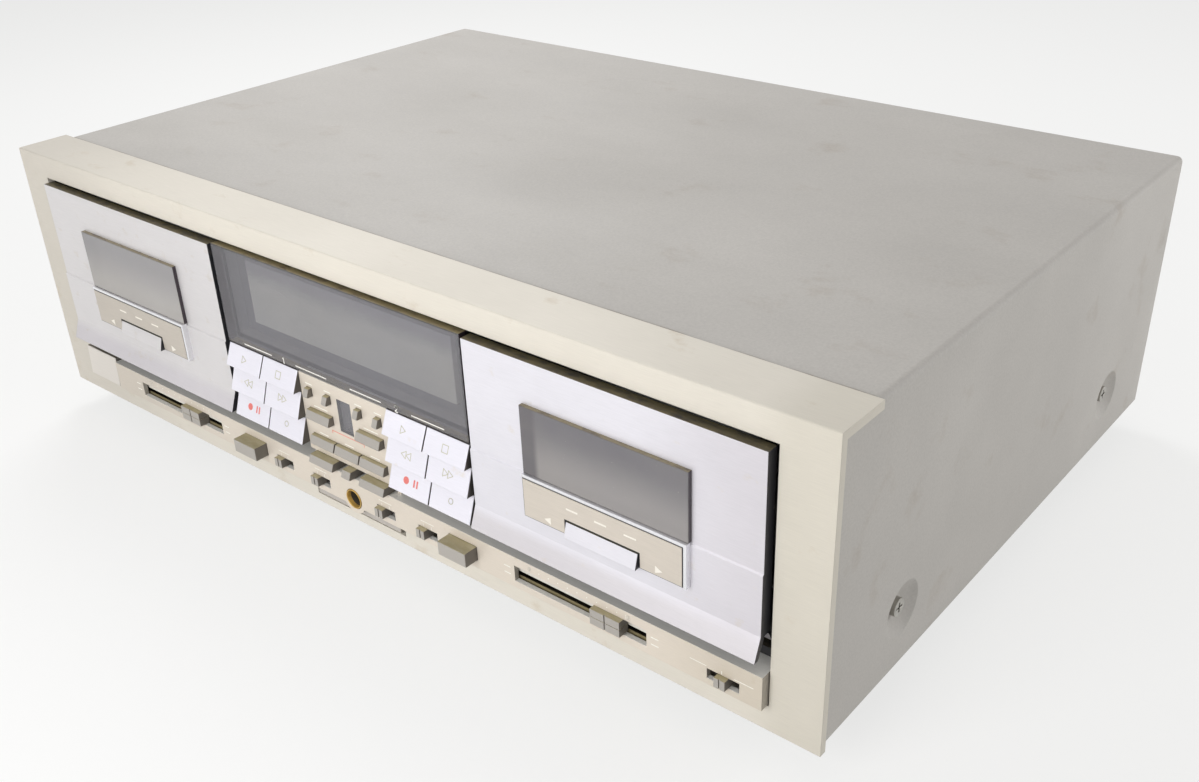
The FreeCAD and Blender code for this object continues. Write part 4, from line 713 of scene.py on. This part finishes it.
piece("headphone_jack_lip", "case", BRASS, jack_lip)
piece("headphone_jack_bore_shade", "case", DARK_BORE, jack_bore_shade)


# Back: nickel shells of the phono sockets, and the screws of the rear panel with their sunk centres
def phono_shells(mesh):
    tip = panel_box("rear_jacks")[1].y
    for x in (133, 147):
        for z in (45, 59):
            lathe(mesh, [(4.25, -7.4), (4.25, 0), (3.6, 0), (3.6, -0.2), (4.16, -0.3), (4.16, -7.4)],
                  spot(x, tip, z), ring=True)


def rear_screws(mesh):
    behind = panel_box("rear_panel")[1].y
    for x in (-205, -90, 90, 205):
        for z in (12, 104):
            lathe(mesh, [(2.9, 0.0), (2.9, 0.9), (2.3, 1.5), (0.9, 1.7), (0.6, 1.2), (0.1, 1.2)],
                  spot(x, behind, z))


piece("phono_socket_shells", "case", SOCKET, phono_shells)
piece("rear_panel_screws", "case", NICKEL, rear_screws)


# Stage
def direct_view(tree):
    """1 for what the camera sees, straight, in a reflection or through the windows."""
    ray = add(tree, "ShaderNodeLightPath").node.outputs
    mirrored = add(tree, "ShaderNodeMath", {0: ray["Is Glossy Ray"], 1: ray["Is Transmission Ray"]},
                   operation="ADD")
    return add(tree, "ShaderNodeMath", {0: ray["Is Camera Ray"], 1: mirrored}, operation="ADD",
               use_clamp=True)


def floor():
    """White paper that keeps the deck's shadow, just under the feet."""
    reach, under, glow_share = 12, 0.0004, 0.7
    material, tree = blank("white_paper_floor")
    paper = add(tree, "ShaderNodeBsdfDiffuse", {"Color": linear("#F6F6F5")})
    glow = add(tree, "ShaderNodeEmission", {"Color": linear("#FCFCFB"), "Strength": 1.0})
    share = add(tree, "ShaderNodeMath", {0: direct_view(tree), 1: glow_share}, operation="MULTIPLY")
    add(tree, "ShaderNodeOutputMaterial",
        {"Surface": add(tree, "ShaderNodeMixShader", {0: share, 1: paper, 2: glow})})
    mesh = bmesh.new()
    mesh.faces.new([mesh.verts.new((x * reach, y * reach, -under))
                    for x, y in ((-1, -1), (1, -1), (1, 1), (-1, 1))])
    data = bpy.data.meshes.new("floor")
    mesh.to_mesh(data)
    mesh.free()
    data.materials.append(material)
    item = bpy.data.objects.new("floor", data)
    bpy.context.scene.collection.objects.link(item)


def surroundings(strength):
    """A white room: paper white to the eye, and of a given strength as light."""
    world = bpy.data.worlds.new("white_room")
    bpy.context.scene.world = world
    world.use_nodes = True
    tree = world.node_tree
    tree.nodes.clear()
    power = add(tree, "ShaderNodeMix", {0: direct_view(tree), 2: strength, 3: 1.0}, data_type="FLOAT")
    back = add(tree, "ShaderNodeBackground", {"Color": linear("#FBFBFC"), "Strength": power})
    add(tree, "ShaderNodeOutputWorld", {"Surface": back})


def lamp(name, place, target, size, power):
    """A soft round lamp of a size in metres that looks at a target."""
    data = bpy.data.lights.new(name, "AREA")
    data.shape = "DISK"
    data.size = size
    data.energy = power
    item = bpy.data.objects.new(name, data)
    bpy.context.scene.collection.objects.link(item)
    item.location = place
    item.rotation_euler = (Vector(target) - Vector(place)).to_track_quat("-Z", "Y").to_euler()


def camera():
    """The camera that the photograph was taken with, as fitted to the corners of the case."""
    frame_width, frame_height = 1199, 782
    focal, centre = 1267.11, (625.81, 410.34)
    tilt, roll, turn = 60.329, 1.376, 38.72
    data = bpy.data.cameras.new("camera")
    data.sensor_width = 36
    data.lens = focal / frame_width * data.sensor_width
    data.shift_x = (frame_width / 2 - centre[0]) / frame_width
    data.shift_y = (centre[1] - frame_height / 2) / frame_width
    data.clip_start = 0.01
    item = bpy.data.objects.new("camera", data)
    bpy.context.scene.collection.objects.link(item)
    item.location = spot(360.0, -265.4, 297.4)
    item.rotation_euler = [math.radians(angle) for angle in (tilt, roll, turn)]
    bpy.context.scene.camera = item


floor()
surroundings(0.43)
lamp("front_light", (0.05, -0.75, 0.32), (0.02, -0.14, 0.06), 0.45, 2.9)
lamp("top_light", (-0.55, 0.35, 0.8), (0, 0, 0.13), 0.5, 3.9)
lamp("side_light", (0.9, 0.6, 0.35), (0.21, 0, 0.07), 0.4, 3.0)
camera()
bpy.context.scene.view_settings.view_transform = "Standard"
